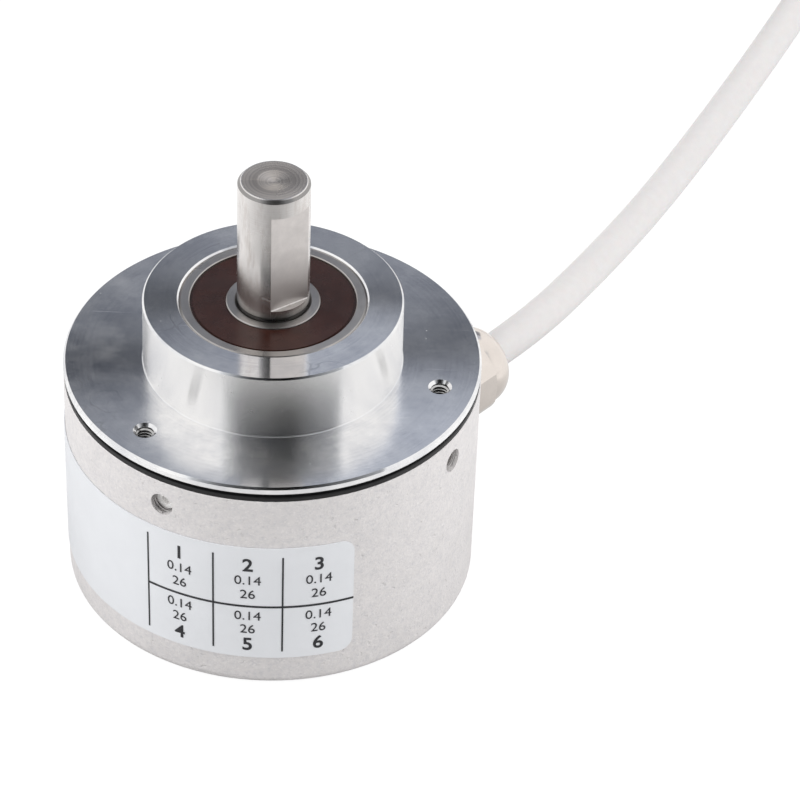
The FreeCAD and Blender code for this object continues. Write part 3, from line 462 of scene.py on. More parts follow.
def casting_skin():
    """Die-cast skin: fine grain, small pits and bright crystals."""
    sheet, given = shader_group("casting skin", Scale=2200.0)
    place = sheet.place()
    grain = sheet.noise(place, given["Scale"], detail=4.0, rough=0.65)
    chance = sheet.cells(sheet.times(given["Scale"], 1.6))[1]
    dots = sheet.noise(place, sheet.times(given["Scale"], 0.33), detail=2.0, rough=0.5)
    pits = sheet.ramp(dots, 0.66, 0.74)
    height = sheet.minus(grain, sheet.times(pits, 0.8))
    return sheet.put_out(Height=height, Sparkle=sheet.ramp(chance[0], 0.86, 0.98), Pits=pits,
                         Grain=sheet.ramp(grain, 0.34, 0.66))


def specks():
    """Sparse small dots, such as dust and lint."""
    sheet, given = shader_group("specks", Scale=450.0, Size=0.05, Share=0.1)
    distance, chance = sheet.cells(given["Scale"])
    kept = sheet.under(chance[0], given["Share"])
    reach = sheet.times(given["Size"], sheet.ramp(chance[1], 0.0, 1.0, 0.35, 1.0))
    return sheet.put_out(Mask=sheet.times(kept, sheet.under(distance, reach)))


# Finishes

METAL = {"Metallic": 1.0}

# Two-shade finishes: colour, dark shade, scale of the clouds, smoothest, roughest, height of the bump
FINISHES = {
    "black rubber": ("rubber", 0.7, 900.0, 0.38, 0.55, 0.00001),
    "bright set screws": ((0.95, 0.94, 0.93), 0.94, 900.0, 0.35, 0.45, 0.000004),
    "polished balls": ("steel", 0.94, 800.0, 0.06, 0.10, 0.0000005, METAL),
    "brown bearing seal": ("seal", 0.72, 420.0, 0.20, 0.34, 0.000004),
    "moulded cage": ("cage", 0.9, 900.0, 0.40, 0.52, 0.000006),
    "spring steel": ((0.30, 0.29, 0.29), 0.75, 700.0, 0.26, 0.40, 0.000003, METAL),
    "etched sheet": ((0.46, 0.46, 0.45), 0.85, 1100.0, 0.24, 0.34, 0.000002, METAL),
    "zinc screw steel": ((0.42, 0.42, 0.43), 0.8, 900.0, 0.28, 0.42, 0.00001, METAL),
    "dark moulding": ("plastic", 0.75, 1500.0, 0.42, 0.58, 0.00001),
    "clear lamp": ((0.86, 0.88, 0.90), 0.96, 600.0, 0.05, 0.12, 0.000001,
                   {"Transmission Weight": 0.85, "IOR": 1.49}),
    "solder mask": ("board", 0.72, 260.0, 0.26, 0.38, 0.000006),
    "spacer brass": ("brass", 0.86, 500.0, 0.22, 0.36, 0.000002, METAL),
    "capacitor can": ((0.66, 0.67, 0.70), 0.9, 800.0, 0.24, 0.34, 0.000002, METAL),
    "terminal moulding": ((0.03, 0.23, 0.09), 0.8, 1200.0, 0.4, 0.52, 0.000004),
    "plated brass": ("nickel", 0.94, 330.0, 0.10, 0.17, 0.000002, METAL),
    "thrust ring": ((0.70, 0.70, 0.68), 0.94, 900.0, 0.4, 0.5, 0.000002),
    "lead jacket": ("jacket", 0.965, 700.0, 0.34, 0.46, 0.00001,
                    {"Subsurface Weight": 0.06, "Subsurface Scale": 0.002}),
    "label film": ("film", 0.965, 140.0, 0.30, 0.42, 0.000012),
    "label ink": ("ink", 0.7, 2600.0, 0.36, 0.5, 0.000001),
    "tinned strand": ((0.68, 0.68, 0.66), 0.8, 2200.0, 0.26, 0.40, 0.00002, METAL),
    "white tie": ((0.74, 0.74, 0.73), 0.95, 900.0, 0.36, 0.48, 0.000006),
}
MADE_FINISHES = {}

CORE_NAMES = ("red", "black", "striped", "white", "green", "yellow")
CORE_COLOURS = {
    "red": (0.50, 0.02, 0.015),
    "black": (0.015, 0.015, 0.015),
    "white": (0.78, 0.77, 0.74),
    "green": (0.02, 0.26, 0.05),
    "yellow": (0.72, 0.50, 0.03),
}
CORE_SKIN = (0.88, 1500.0, 0.30, 0.42, 0.000002)
FINISHES.update({"core " + name: (base, *CORE_SKIN) for name, base in CORE_COLOURS.items()})


def tint(base):
    """A colour with its alpha, from the name of one of the listed colours or from its three parts."""
    if isinstance(base, str):
        return tuple(getattr(bpy.context.scene.encoder_colours, base))
    return (*base, 1.0)


def shade(base, factor):
    """A darker or lighter colour of the same hue."""
    return tuple(min(1.0, part * factor) for part in base[:3]) + (1.0,)


def principled(name, values):
    """A material with one Principled BSDF whose plain values are set on its own sockets."""
    material = bpy.data.materials.new(name)
    material.use_nodes = True
    shader = material.node_tree.nodes["Principled BSDF"].inputs
    for socket, value in values.items():
        shader[socket].default_value = value
    return material, Sheet(material.node_tree), shader


def fed(socket):
    """What feeds a socket so far."""
    return socket.links[0].from_socket


def mottled(name, base, dark, scale, smooth, rough, height, values=None):
    """A finish of two near shades with a fine uneven skin."""
    material, sheet, shader = principled(name, values or {})
    clouds = sheet.group(mottle, Light=base, Dark=shade(base, dark), Scale=scale,
                         Smooth=smooth, Rough=rough)
    sheet.feed(shader["Base Color"], clouds["Color"])
    sheet.feed(shader["Roughness"], clouds["Roughness"])
    sheet.bump(shader, clouds["Height"], height)
    return material


def striped_core(name, base, stripe):
    """Insulation with a stripe along it that winds slowly round."""
    material, sheet, shader = principled(name, {"Roughness": 0.38})
    wave = sheet.node("TexWave", bands_direction="DIAGONAL")
    wave.inputs["Scale"].default_value = 260.0
    sheet.feed(wave.inputs["Vector"], sheet.place())
    mask = sheet.ramp(wave.outputs["Fac"], 0.62, 0.66)
    sheet.feed(shader["Base Color"], sheet.mix(mask, base, stripe))
    return material


def finish(name):
    """A finish that pieces share, made once."""
    if name not in MADE_FINISHES:
        if name == "core striped":
            made = striped_core(name, tint(CORE_COLOURS["yellow"]), tint(CORE_COLOURS["black"]))
        else:
            base, *skin = FINISHES[name]
            made = mottled(name, tint(base), *skin)
        MADE_FINISHES[name] = made
    return MADE_FINISHES[name]


def turned(name, base, dark, smooth, rough, lines, groove, scratched, brushed=0.0):
    """Lathe-turned metal with fine lines, smudges and a few scratches, open for more nodes."""
    material, sheet, shader = principled(
        name, {"Metallic": 1.0, "Anisotropic": brushed, "Anisotropic Rotation": 0.25})
    clouds = sheet.group(mottle, Light=base, Dark=dark, Scale=150.0, Smooth=smooth, Rough=rough)
    rings = sheet.group(turning_lines, Lines=lines)
    marks = sheet.group(scratches, Scale=70.0)
    lined = sheet.mix(sheet.times(rings["Mask"], 0.35), clouds["Color"], shade(base, 1.08))
    wear_and_shade = sheet.mix(sheet.times(marks["Mask"], scratched), lined, shade(base, 1.2))
    rubbed = sheet.mix(sheet.times(marks["Loops"], scratched), wear_and_shade, shade(base, 0.3))
    sheet.feed(shader["Base Color"], rubbed)
    sheet.feed(shader["Roughness"],
               sheet.plus(clouds["Roughness"], sheet.times(marks["Mask"], 0.3 * scratched)))
    sheet.bump(shader, sheet.minus(rings["Height"], sheet.times(marks["Mask"], 0.5)), groove)
    return material, sheet, shader


def turned_metal(*values, **skin):
    """Lathe-turned metal as it is."""
    return turned(*values, **skin)[0]


# How far from a turned wall, the shaft's flat or the flange's face a place still counts as on it
ON_WALL = 0.00002
ON_FLAT = 0.00001
ON_FACE = 0.0005


def flange_metal(name, base, stain):
    """The flange's metal: turned faces that lean a trace outwards, stains from hands, dust, painted shade
    in the tapped holes, and a haze that also lightens the left side as painted light.
    """
    lines = 9000.0
    slope = 0.03
    wall_roughness = 0.11
    hole_reach = 0.0016
    rim_matt, haze_matt = 0.7, 0.08
    left_haze_full, left_haze_gone = -0.02, -0.01
    dust_colour = (0.85, 0.85, 0.85, 1.0)
    material, sheet, shader = turned(name, base, stain, smooth=0.10, rough=0.15, lines=lines,
                                     groove=0.0000012, scratched=0.25, brushed=1.0)
    radius = sheet.group(turning_lines, Lines=lines)["Radius"]
    x, _, z = sheet.axes()
    raised = sheet.tree.nodes["Bump"].inputs
    lean = sheet.times(radius, slope / raised["Distance"].default_value)
    sheet.feed(raised["Height"], sheet.minus(fed(raised["Height"]), lean))
    wall = sheet.near(radius, SPIGOT_RADIUS, ON_WALL)
    sheet.feed(shader["Roughness"],
               sheet.plus(fed(shader["Roughness"]), sheet.times(wall, wall_roughness)))
    clean = sheet.mix(wall, fed(shader["Base Color"]), base)
    # Painted shade: the walls of the tapped holes below the face are darkened to 0.2 of the colour.
    deep = sheet.under(z, FLANGE_FACE - ON_FACE)
    tapped = sheet.times(deep, sheet.near(radius, BOLT_CIRCLE, hole_reach))
    plain = sheet.mix(tapped, clean, shade(base, 0.2))
    dust = sheet.group(specks, Scale=520.0, Size=0.05, Share=0.16)["Mask"]
    sheet.feed(shader["Base Color"], sheet.mix(dust, plain, dust_colour))
    rim = sheet.times(sheet.near(radius, RIM_RADIUS, ON_WALL), rim_matt)
    # Matt haze in clouds on the low faces, kept to the left side: partly real haze, partly painted light
    # that lightens the left side.
    clouds = sheet.noise(sheet.place(), 210.0, detail=5.0, rough=0.6)
    cloudy = sheet.ramp(clouds, 0.45, 0.7, 0.0, haze_matt)
    low = sheet.under(z, FLANGE_FACE + ON_FACE)
    haze = sheet.times(cloudy, low, sheet.ramp(x, left_haze_full, left_haze_gone, 1.0, 0.0))
    sheet.feed(shader["Metallic"], sheet.minus(1.0, sheet.most(dust, rim, haze)))
    return material


def shaft_metal(name, base, milled):
    """The shaft's metal: ground and streaked round, a paler milled flat with painted shade towards its
    lower end, a cut edge darkened partly as dull metal and partly as painted shade with a painted highlight
    line along its top, and painted shade at its foot.
    """
    lines = 5200.0
    dirt = (0.47, 0.40, 0.36, 1.0)
    faced_dark, faced_light = (0.59, 0.53, 0.47, 1.0), (0.87, 0.79, 0.70, 1.0)
    low_shade_from, low_shade_to, foot_shade_to = SPIGOT_TOP + 0.003, SPIGOT_TOP + 0.009, SPIGOT_TOP + 0.0016
    cut_low, cut_high, faced_from = SHAFT_END - 0.00048, SHAFT_END - 0.00012, SHAFT_END - 0.0006
    edge_radius = 0.0044
    lengthwise = (1.0, 1.0, 0.22)
    material, sheet, shader = turned(name, base, shade(base, 0.86), smooth=0.20, rough=0.30, lines=lines,
                                     groove=0.000002, scratched=0.4, brushed=0.6)
    place = sheet.place()
    height = sheet.axes()[2]
    radius = sheet.group(turning_lines, Lines=lines)["Radius"]
    flat = sheet.near(sheet.vector("DOT_PRODUCT", place, FLAT_NORMAL)["Value"], FLAT_REACH, ON_FLAT)
    cloudy = sheet.group(mottle, Light=milled, Dark=shade(milled, 0.88), Scale=420.0,
                         Smooth=0.34, Rough=0.44)
    stretched = sheet.vector("MULTIPLY", place, lengthwise)[0]
    streaks = sheet.ramp(sheet.noise(stretched, 900.0, detail=6.0, rough=0.65), 0.5, 0.72, 0.0, 0.5)
    dirty = sheet.mix(streaks, fed(shader["Base Color"]), dirt)
    # Painted shade: the milled flat is darker towards its lower end.
    wear_and_shade = sheet.mix(sheet.ramp(height, low_shade_from, low_shade_to), shade(milled, 0.74), cloudy["Color"])
    ground = sheet.mix(flat, dirty, wear_and_shade)
    # Painted shade at the shaft's foot: darkened to 0.25 of the colour just above the spigot.
    foot_shade = sheet.mix(sheet.ramp(height, SPIGOT_TOP, foot_shade_to), shade(base, 0.25), ground)
    # The chamfer round the end is darkened to 0.4 of the colour: partly dull rough-turned metal, partly
    # painted shade. The thin band above cut_high keeps the full colour as a painted highlight line.
    outside = sheet.over(radius, edge_radius)
    cut_edge = sheet.times(outside, sheet.over(height, cut_low), sheet.under(height, cut_high))
    edged = sheet.mix(cut_edge, foot_shade, shade(base, 0.4))
    faced = sheet.times(sheet.over(height, faced_from), sheet.minus(1.0, outside))
    rings = sheet.mix(sheet.group(turning_lines, Lines=2600.0)["Mask"], faced_dark, faced_light)
    sheet.feed(shader["Base Color"], sheet.mix(faced, edged, rings))
    sheet.feed(shader["Roughness"],
               sheet.ramp(flat, 0.0, 1.0, fed(shader["Roughness"]), cloudy["Roughness"]))
    return material


def cast_metal(name, base):
    """Matt die-cast skin with grain, pits darkened as painted shade, and bright crystals."""
    material, sheet, shader = principled(name, {"Metallic": 0.2})
    clouds = sheet.group(mottle, Light=base, Dark=shade(base, 0.92), Scale=260.0, Smooth=0.46, Rough=0.62)
    skin = sheet.group(casting_skin, Scale=2600.0)
    cool = (0.80 * base[0], 0.81 * base[1], 0.835 * base[2], 1.0)
    flecks = sheet.group(mottle, Light=shade(base, 0.97), Dark=cool, Scale=1100.0)
    grained = sheet.mix(skin["Grain"], flecks["Color"], clouds["Color"])
    bright = sheet.mix(sheet.times(skin["Sparkle"], 0.3), grained, shade(base, 1.15))
    # Painted shade: the pits are darkened to 0.72 of the colour.
    pitted = sheet.mix(sheet.times(skin["Pits"], 0.2), bright, shade(base, 0.72))
    sheet.feed(shader["Base Color"], pitted)
    sheet.feed(shader["Roughness"], clouds["Roughness"])
    sheet.bump(shader, skin["Height"], 0.00009)
    return material


class ENCODER_OT_dress_housing(bpy.types.Operator):
    """Give the flange, the cover, the gasket and the set screws their finishes"""
    bl_idname = "encoder.dress_housing"
    bl_label = "Housing finishes"

    def execute(self, context):
        dress(flange_metal("turned aluminium", tint("aluminium"), tint("stain")), "flange")
        dress(cast_metal("cast aluminium", tint("cast")), "housing_cover")
        dress(finish("black rubber"), "cover_seal", "gland_seal", "gland_washer")
        dress(finish("bright set screws"), "cover_screws")
        return {"FINISHED"}


class ENCODER_OT_dress_rotor(bpy.types.Operator):
    """Give the shaft and both bearings their finishes"""
    bl_idname = "encoder.dress_rotor"
    bl_label = "Shaft and bearing finishes"

    def execute(self, context):
        steel = tint("steel")
        dress(shaft_metal("ground shaft", tint("shaft"), tint("flat")), "shaft")
        rings = turned_metal("bearing steel", steel, shade(steel, 0.72), smooth=0.26, rough=0.38,
                             lines=12000.0, groove=0.000002, scratched=0.2, brushed=0.5)
        dress(rings, "front_bearing_outer_ring", "front_bearing_inner_ring",
              "rear_bearing_outer_ring", "rear_bearing_inner_ring",
              "rear_bearing_front_shield", "rear_bearing_rear_shield")
        dress(finish("polished balls"), "front_bearing_balls", "rear_bearing_balls")
        dress(finish("brown bearing seal"), "front_bearing_front_seal", "front_bearing_rear_seal")
        dress(finish("moulded cage"), "front_bearing_cage", "rear_bearing_cage")
        dress(finish("spring steel"), "preload_spring", "retaining_ring")
        return {"FINISHED"}


class ENCODER_OT_dress_optics(bpy.types.Operator):
    """Give the code disc, its hub, the lamp and the receiver their finishes"""
    bl_idname = "encoder.dress_optics"
    bl_label = "Disc and lamp finishes"

    def execute(self, context):
        base = tint("aluminium")
        hub = turned_metal("hub aluminium", base, shade(base, 0.9), smooth=0.22, rough=0.32,
                           lines=7000.0, groove=0.000002, scratched=0.2)
        dress(hub, "disc_hub", "disc_clamp")
        dress(finish("etched sheet"), "code_disc", "mask_plate")
        dress(finish("zinc screw steel"), "hub_screw", "led_screws")
        dress(finish("dark moulding"), "led_holder", "sensor_chip", "board_chips")
        dress(finish("clear lamp"), "led", "led_lens")
        return {"FINISHED"}


class ENCODER_OT_dress_board(bpy.types.Operator):
    """Give the circuit board and what stands on it their finishes"""
    bl_idname = "encoder.dress_board"
    bl_label = "Board finishes"

    def execute(self, context):
        dress(finish("solder mask"), "main_board")
        dress(finish("spacer brass"), "board_standoffs")
        dress(finish("zinc screw steel"), "board_screws", "terminal_screws")
        dress(finish("capacitor can"), "board_capacitors")
        dress(finish("terminal moulding"), "terminal_strip")
        return {"FINISHED"}


class ENCODER_OT_dress_gland(bpy.types.Operator):
    """Give the cable gland and the lead inside it their finishes"""
    bl_idname = "encoder.dress_gland"
    bl_label = "Gland finishes"

    def execute(self, context):
        dress(finish("plated brass"), "gland_body", "gland_nut")
        dress(finish("thrust ring"), "gland_thrust_ring")
        dress(finish("lead jacket"), "cable_entry")
        return {"FINISHED"}


# Share of a thread's ridge that stands inside the wall of its hole
SUNK_SHARE = 0.35


def tapped_ridge(radius, turns, sizes):
    """A helical ridge inside a hole about the Z axis, from its first turn at height zero upwards."""
    deselect()
    bpy.ops.mesh.primitive_circle_add(vertices=3, radius=sizes.ridge, fill_type="NOTHING")
    piece = bpy.context.object
    edit_all()
    bpy.ops.transform.rotate(value=QUARTER_TURN, orient_axis="X", center_override=(0, 0, 0))
    bpy.ops.transform.rotate(value=-QUARTER_TURN, orient_axis="Y", center_override=(0, 0, 0))
    bpy.ops.transform.translate(value=(radius - SUNK_SHARE * sizes.ridge, 0, 0))
    leave_edit()
    winding = piece.modifiers.new("winding", "SCREW")
    winding.axis = "Z"
    winding.screw_offset = sizes.pitch
    winding.iterations = turns
    winding.steps = sizes.steps
    winding.render_steps = sizes.steps
    apply_modifiers(piece)
    bpy.ops.object.mode_set(mode="EDIT")
    bpy.ops.mesh.select_all(action="DESELECT")
    bpy.ops.mesh.select_non_manifold()
    bpy.ops.mesh.fill()
    bpy.ops.mesh.select_all(action="SELECT")
    bpy.ops.mesh.remove_doubles(threshold=MERGE_DISTANCE)
    bpy.ops.mesh.normals_make_consistent(inside=False)
    leave_edit()
    smooth_below(35.0)
    return piece


class ENCODER_OT_add_threads(bpy.types.Operator):
    """Add the threads that show in the mounting holes and above the sunk set screws"""
    bl_idname = "encoder.add_threads"
    bl_label = "Threads"

    def execute(self, context):
        sizes = context.scene.encoder_threads
        turns = int((sizes.depth - sizes.lead_in) / sizes.pitch)
        bottom = FLANGE_FACE - sizes.lead_in - turns * sizes.pitch
        places = []
        for turn in self.even_turns(sizes.first, sizes.holes):
            places.append(Matrix.Translation(
                (BOLT_CIRCLE * math.cos(turn), BOLT_CIRCLE * math.sin(turn), bottom)))
        self.add_ridges("mounting_thread", "turned_aluminium",
                        self.thread_metal("tapped thread", tint("aluminium"), smooth=0.16, rough=0.26),
                        tapped_ridge(BOLT_HOLE, turns, sizes), places)
        sideways = Matrix.Rotation(QUARTER_TURN, 4, "Y")
        outmost = Matrix.Translation((sizes.set_start, 0, SCREW_HEIGHT)) @ sideways
        places = [Matrix.Rotation(turn, 4, "Z") @ outmost
                  for turn in self.even_turns(sizes.set_first, sizes.set_holes)]
        self.add_ridges("cover_thread", "cast_cover",
                        self.thread_metal("cover thread", tint("cast"), smooth=0.2, rough=0.3),
                        tapped_ridge(sizes.set_hole, sizes.set_turns, sizes), places)
        return {"FINISHED"}

    def even_turns(self, first, holes):
        """Angles of evenly spaced holes."""
        return [first + WHOLE_TURN * k / holes for k in range(holes)]

    def thread_metal(self, name, base, smooth, rough):
        """The metal of a thread, its colour darkened to 0.6 and 0.45 as painted shade of the hole."""
        return turned_metal(name, shade(base, 0.6), shade(base, 0.45), smooth=smooth, rough=rough,
                            lines=9000.0, groove=0.000001, scratched=0.1)

    def add_ridges(self, name, slot, material, ridge, places):
        """Copy a modelled ridge to all of its places, each copy with its own mesh."""
        ridges = [ridge]
        for _ in places[1:]:
            only(ridge)
            bpy.ops.object.duplicate()
            ridges.append(bpy.context.object)
        for k, place in enumerate(places):
            ridges[k].matrix_world = place
            only(ridges[k])
            bpy.ops.object.transform_apply(location=True, rotation=True, scale=True)
            settle(ridges[k], "%s_%d" % (name, k + 1), "housing", slot, material)


def cut_in_strips(piece, step):
    """Cut a flat piece across its length, so that it can follow a round wall."""
    only(piece)
    low = min(corner.co.x for corner in piece.data.vertices)
    high = max(corner.co.x for corner in piece.data.vertices)
    bpy.ops.object.mode_set(mode="EDIT")
    for k in range(1, int((high - low) / step) + 1):
        bpy.ops.mesh.select_all(action="SELECT")
        bpy.ops.mesh.bisect(plane_co=(low + k * step, 0, 0), plane_no=(1, 0, 0))
    leave_edit()


def wrap_on_cover(piece, lift, thickness):
    """Bend a flat piece, drawn in arc length and height, round the drafted cover."""
    slope = math.tan(bpy.context.scene.encoder_label.draft)
    for corner in piece.data.vertices:
        turn = corner.co.x / RIM_RADIUS
        height = corner.co.y
        radius = RIM_RADIUS - slope * (COVER_TOP - height) + lift + corner.co.z
        corner.co = (radius * math.cos(turn), radius * math.sin(turn), height)
    wall = piece.modifiers.new("thickness", "SOLIDIFY")
    wall.thickness = thickness
    wall.offset = 1.0
    apply_modifiers(piece)
    smooth_below(30.0)


def flat_rectangle(left, right, bottom, top):
    """A flat plate in arc length and height."""
    deselect()
    bpy.ops.mesh.primitive_plane_add(size=1.0)
    plate = bpy.context.object
    edit_all()
    bpy.ops.transform.resize(value=(right - left, top - bottom, 1.0), center_override=(0, 0, 0))
    bpy.ops.transform.translate(value=((left + right) / 2, (bottom + top) / 2, 0))
    leave_edit()
    return plate


class ENCODER_OT_add_label(bpy.types.Operator):
    """Stick the label's film round the cover"""
    bl_idname = "encoder.add_label"
    bl_label = "Label film"

    def execute(self, context):
        sizes = context.scene.encoder_label
        film = flat_rectangle(sizes.left * RIM_RADIUS, sizes.right * RIM_RADIUS,
                              sizes.bottom, sizes.bottom + sizes.height)
        edit_all()
        bpy.ops.mesh.bevel(offset=sizes.corner, offset_type="OFFSET", segments=10, affect="VERTICES")
        leave_edit()
        cut_in_strips(film, sizes.strip)
        wrap_on_cover(film, sizes.glue, sizes.film)
        settle(film, "label_film", "housing", "label_film", finish("label film"), "label")
        return {"FINISHED"}


# The printed table: angles of its upright rules in degrees, and the heights and figures of its rows
UPRIGHT_RULES = (-123.4, -103.8, -84.8)
UPPER_NUMBER = 0.0218
SMALL_FIGURES = ((0.0191, "0.14"), (0.0166, "26"), (0.0127, "0.14"), (0.0103, "26"))
LOWER_NUMBER = 0.0075
BOLD_SHARE = 0.018


def figure(text, size, turn, height, weight=0.0):
    """A number as a flat mesh at its place on the unrolled label."""
    deselect()
    bpy.ops.object.text_add(location=(0, 0, 0))
    letters = bpy.context.object
    letters.data.body = text
    letters.data.size = size
    letters.data.offset = weight
    letters.data.align_x = "CENTER"
    letters.data.align_y = "CENTER"
    letters.data.resolution_u = 6
    bpy.ops.object.convert(target="MESH")
    letters = bpy.context.object
    edit_all()
    bpy.ops.mesh.remove_doubles(threshold=MERGE_DISTANCE)
    bpy.ops.transform.translate(value=(turn * RIM_RADIUS, height, 0))
    leave_edit()
    return letters


class ENCODER_OT_add_print(bpy.types.Operator):
    """Print the table of plain numbers on the label"""
    bl_idname = "encoder.add_print"
    bl_label = "Label print"

    def execute(self, context):
        sizes = context.scene.encoder_label
        uprights = [math.radians(turn) for turn in UPRIGHT_RULES]
        marks = []
        for turn in uprights:
            middle = turn * RIM_RADIUS
            marks.append(flat_rectangle(middle - sizes.fine_rule / 2, middle + sizes.fine_rule / 2,
                                        sizes.table_low, sizes.table_high))
        marks.append(flat_rectangle(uprights[0] * RIM_RADIUS, sizes.right * RIM_RADIUS,
                                    sizes.row_rule - sizes.bold_rule / 2,
                                    sizes.row_rule + sizes.bold_rule / 2))
        edges = uprights + [sizes.right]
        bold = sizes.large_figure * BOLD_SHARE
        columns = len(uprights)
        for k in range(columns):
            turn = (edges[k] + edges[k + 1]) / 2
            marks.append(figure(str(k + 1), sizes.large_figure, turn, UPPER_NUMBER, bold))
            for height, text in SMALL_FIGURES:
                marks.append(figure(text, sizes.small_figure, turn, height))
            marks.append(figure(str(k + 1 + columns), sizes.large_figure, turn, LOWER_NUMBER, bold))
        only(marks[0])
        for mark in marks[1:]:
            mark.select_set(True)
        bpy.ops.object.join()
        ink = bpy.context.object
        cut_in_strips(ink, sizes.strip)
        wrap_on_cover(ink, sizes.glue + sizes.film + sizes.ink_gap, sizes.ink)
        settle(ink, "label_print", "housing", "label_film", finish("label ink"))
        return {"FINISHED"}


# The lead's route in millimetres, from the gland's mouth to the coil and from the coil to its end
ROUTE = [
    (36.8, 41.6, 9.9),
    (46.6, 61.7, 6.3),
    (57.0, 84.4, 3.2),
    (70.2, 113.6, 2.7),
    (83.2, 144.0, 2.9),
    (95.2, 174.9, 3.3),
]
TAIL = [
    (43.5, 229.3, 8.0),
    (28.0, 230.3, 4.6),
    (13.5, 232.2, 2.7),
    (2.0, 233.0, 2.7),
]

# How strongly a core's height decides its order among cores that lie equally far to one side
CORE_ORDER = 36.0


def smooth_line(name, points, radius):
    """A round line on one smooth spline with these control points."""
    data = bpy.data.curves.new(name, "CURVE")
    data.dimensions = "3D"
    spline = data.splines.new("NURBS")
    spline.points.add(len(points) - 1)
    for point, place in zip(spline.points, points):
        point.co = (*place, 1.0)
    spline.order_u = 3
    spline.use_endpoint_u = True
    spline.resolution_u = 8
    data.bevel_depth = radius
    data.bevel_resolution = 8
    data.use_fill_caps = True
    line = bpy.data.objects.new(name, data)
    bpy.context.collection.objects.link(line)
    return line


def coil_points(sizes):
    """Control points of the coil: inwards on the lower layer, then outwards on the upper one."""
    before, last = Vector(ROUTE[-2]) * MM, Vector(ROUTE[-1]) * MM
    heading = last - before
    side = Vector((-heading.y, heading.x, 0)).normalized()
    middle = last + side * sizes.outer_turn
    middle.z = 0.0
    start = math.atan2(-side.y, -side.x)
    sweep = (sizes.leaving - start) % WHOLE_TURN + WHOLE_TURN * sizes.turns
    points = round(sweep / WHOLE_TURN * sizes.turn_points)
    hold_out = 1.0 / math.cos(math.pi / sizes.turn_points)
    places = []
    for k in range(1, points):
        share = k / points
        turn = start + sweep * share
        inward = 1.0 - abs(2.0 * share - 1.0)
        radius = (sizes.outer_turn + (sizes.inner_turn - sizes.outer_turn) * inward) * hold_out
        rise = min(1.0, max(0.0, (share - 0.5) * sizes.turns * 2.0 + 0.5))
        height = sizes.lower_layer + (sizes.upper_layer - sizes.lower_layer) * rise
        places.append(middle + Vector((radius * math.cos(turn), radius * math.sin(turn), height)))
    end = middle + Vector((sizes.outer_turn * math.cos(sizes.leaving),
                           sizes.outer_turn * math.sin(sizes.leaving), sizes.upper_layer))
    return places + [end]


def cores_across(sizes):
    """The cores' places in the lead's section from one side to the other, each with its step aside."""
    places = []
    for k in range(len(CORE_NAMES)):
        turn = WHOLE_TURN * k / len(CORE_NAMES)
        places.append((sizes.core_circle * math.cos(turn), sizes.core_circle * math.sin(turn)))
    places.sort(key=lambda place: place[0] * (1 + place[1] * CORE_ORDER))
    middle = (len(CORE_NAMES) - 1) / 2
    return [(CORE_NAMES[k], across, up, k - middle) for k, (across, up) in enumerate(places)]


def core_line(stem, core, points, sizes, node):
    """One insulated core as a mesh tube. The first core replaces the CAD node of all six."""
    name = stem + core
    line = smooth_line(name, points, sizes.core / 2)
    only(line)
    bpy.ops.object.convert(target="MESH")
    tube = bpy.context.object
    smooth_below(40.0)
    nodes = (node,) if core == CORE_NAMES[0] else ()
    return settle(tube, name, "housing", "core_insulation", finish("core " + core), *nodes)


class ENCODER_OT_add_cores(bpy.types.Operator):
    """Run the six cores from the lead's end inside the cover to the terminals"""
    bl_idname = "encoder.add_cores"
    bl_label = "Inner cores"

    def execute(self, context):
        sizes = context.scene.encoder_lead
        turn = Matrix.Rotation(sizes.gland, 3, "Z")
        for core, across, up, step in cores_across(sizes):
            aside = step * sizes.terminal_pitch
            height = sizes.gland_height + up
            points = [
                (sizes.core_start, across, height),
                (sizes.core_bend, across, height),
                (sizes.core_level, aside, sizes.terminal_height),
                (sizes.core_stop, aside, sizes.terminal_height),
            ]
            core_line("inner_core_", core, [turn @ Vector(point) for point in points], sizes, "core_wires")
        return {"FINISHED"}


class ENCODER_OT_add_lead(bpy.types.Operator):
    """Lay the lead from the gland to its tied coil and its loose cores"""
    bl_idname = "encoder.add_lead"
    bl_label = "Lead, coil and loose cores"

    def execute(self, context):
        sizes = context.scene.encoder_lead
        mouth = Vector((sizes.mouth * math.cos(sizes.gland), sizes.mouth * math.sin(sizes.gland),
                        sizes.gland_height))
        tail = [Vector(point) * MM for point in TAIL]
        points = [mouth] + [Vector(point) * MM for point in ROUTE] + coil_points(sizes) + tail
        lead = smooth_line("lead", points, sizes.diameter / 2)
        settle(lead, "lead", "housing", "cable_jacket", finish("lead jacket"),
               "cable", "cable_coil", "cable_tail")
        cores = self.add_loose_cores(sizes, tail)
        dress(finish("tinned strand"), "lead_tips")
        dress(finish("white tie"), "coil_ties")
        return {"FINISHED"}

    def add_loose_cores(self, sizes, tail):
        """Fan the six cores out of the lead's far end, down to the floor."""
        heading = (tail[-1] - tail[-2]).normalized()
        side = Vector((-heading.y, heading.x, 0))
        reach = sizes.core_length + sizes.tip_length
        cores = []
        for core, across, up, step in cores_across(sizes):
            begin = tail[-1] + side * across + Vector((0, 0, up))
            bend = begin + heading * sizes.core_straight
            aim = bend + (heading + side * sizes.fan * step) * reach
            aim.z = sizes.core / 2
            end = bend + (aim - bend).normalized() * sizes.core_length
            cores.append(core_line("loose_core_", core, [begin, bend, end], sizes, "lead_wires"))
        return cores


def area_lamp(name, place, size, power, aim):
    """A soft square lamp that looks at a point."""
    data = bpy.data.lights.new(name, "AREA")
    data.energy = power
    data.size = size
    lamp = bpy.data.objects.new(name, data)
    lamp.location = place
    lamp.rotation_euler = (Vector(aim) - Vector(place)).to_track_quat("-Z", "Y").to_euler()
    lamp.visible_glossy = False
    bpy.context.collection.objects.link(lamp)


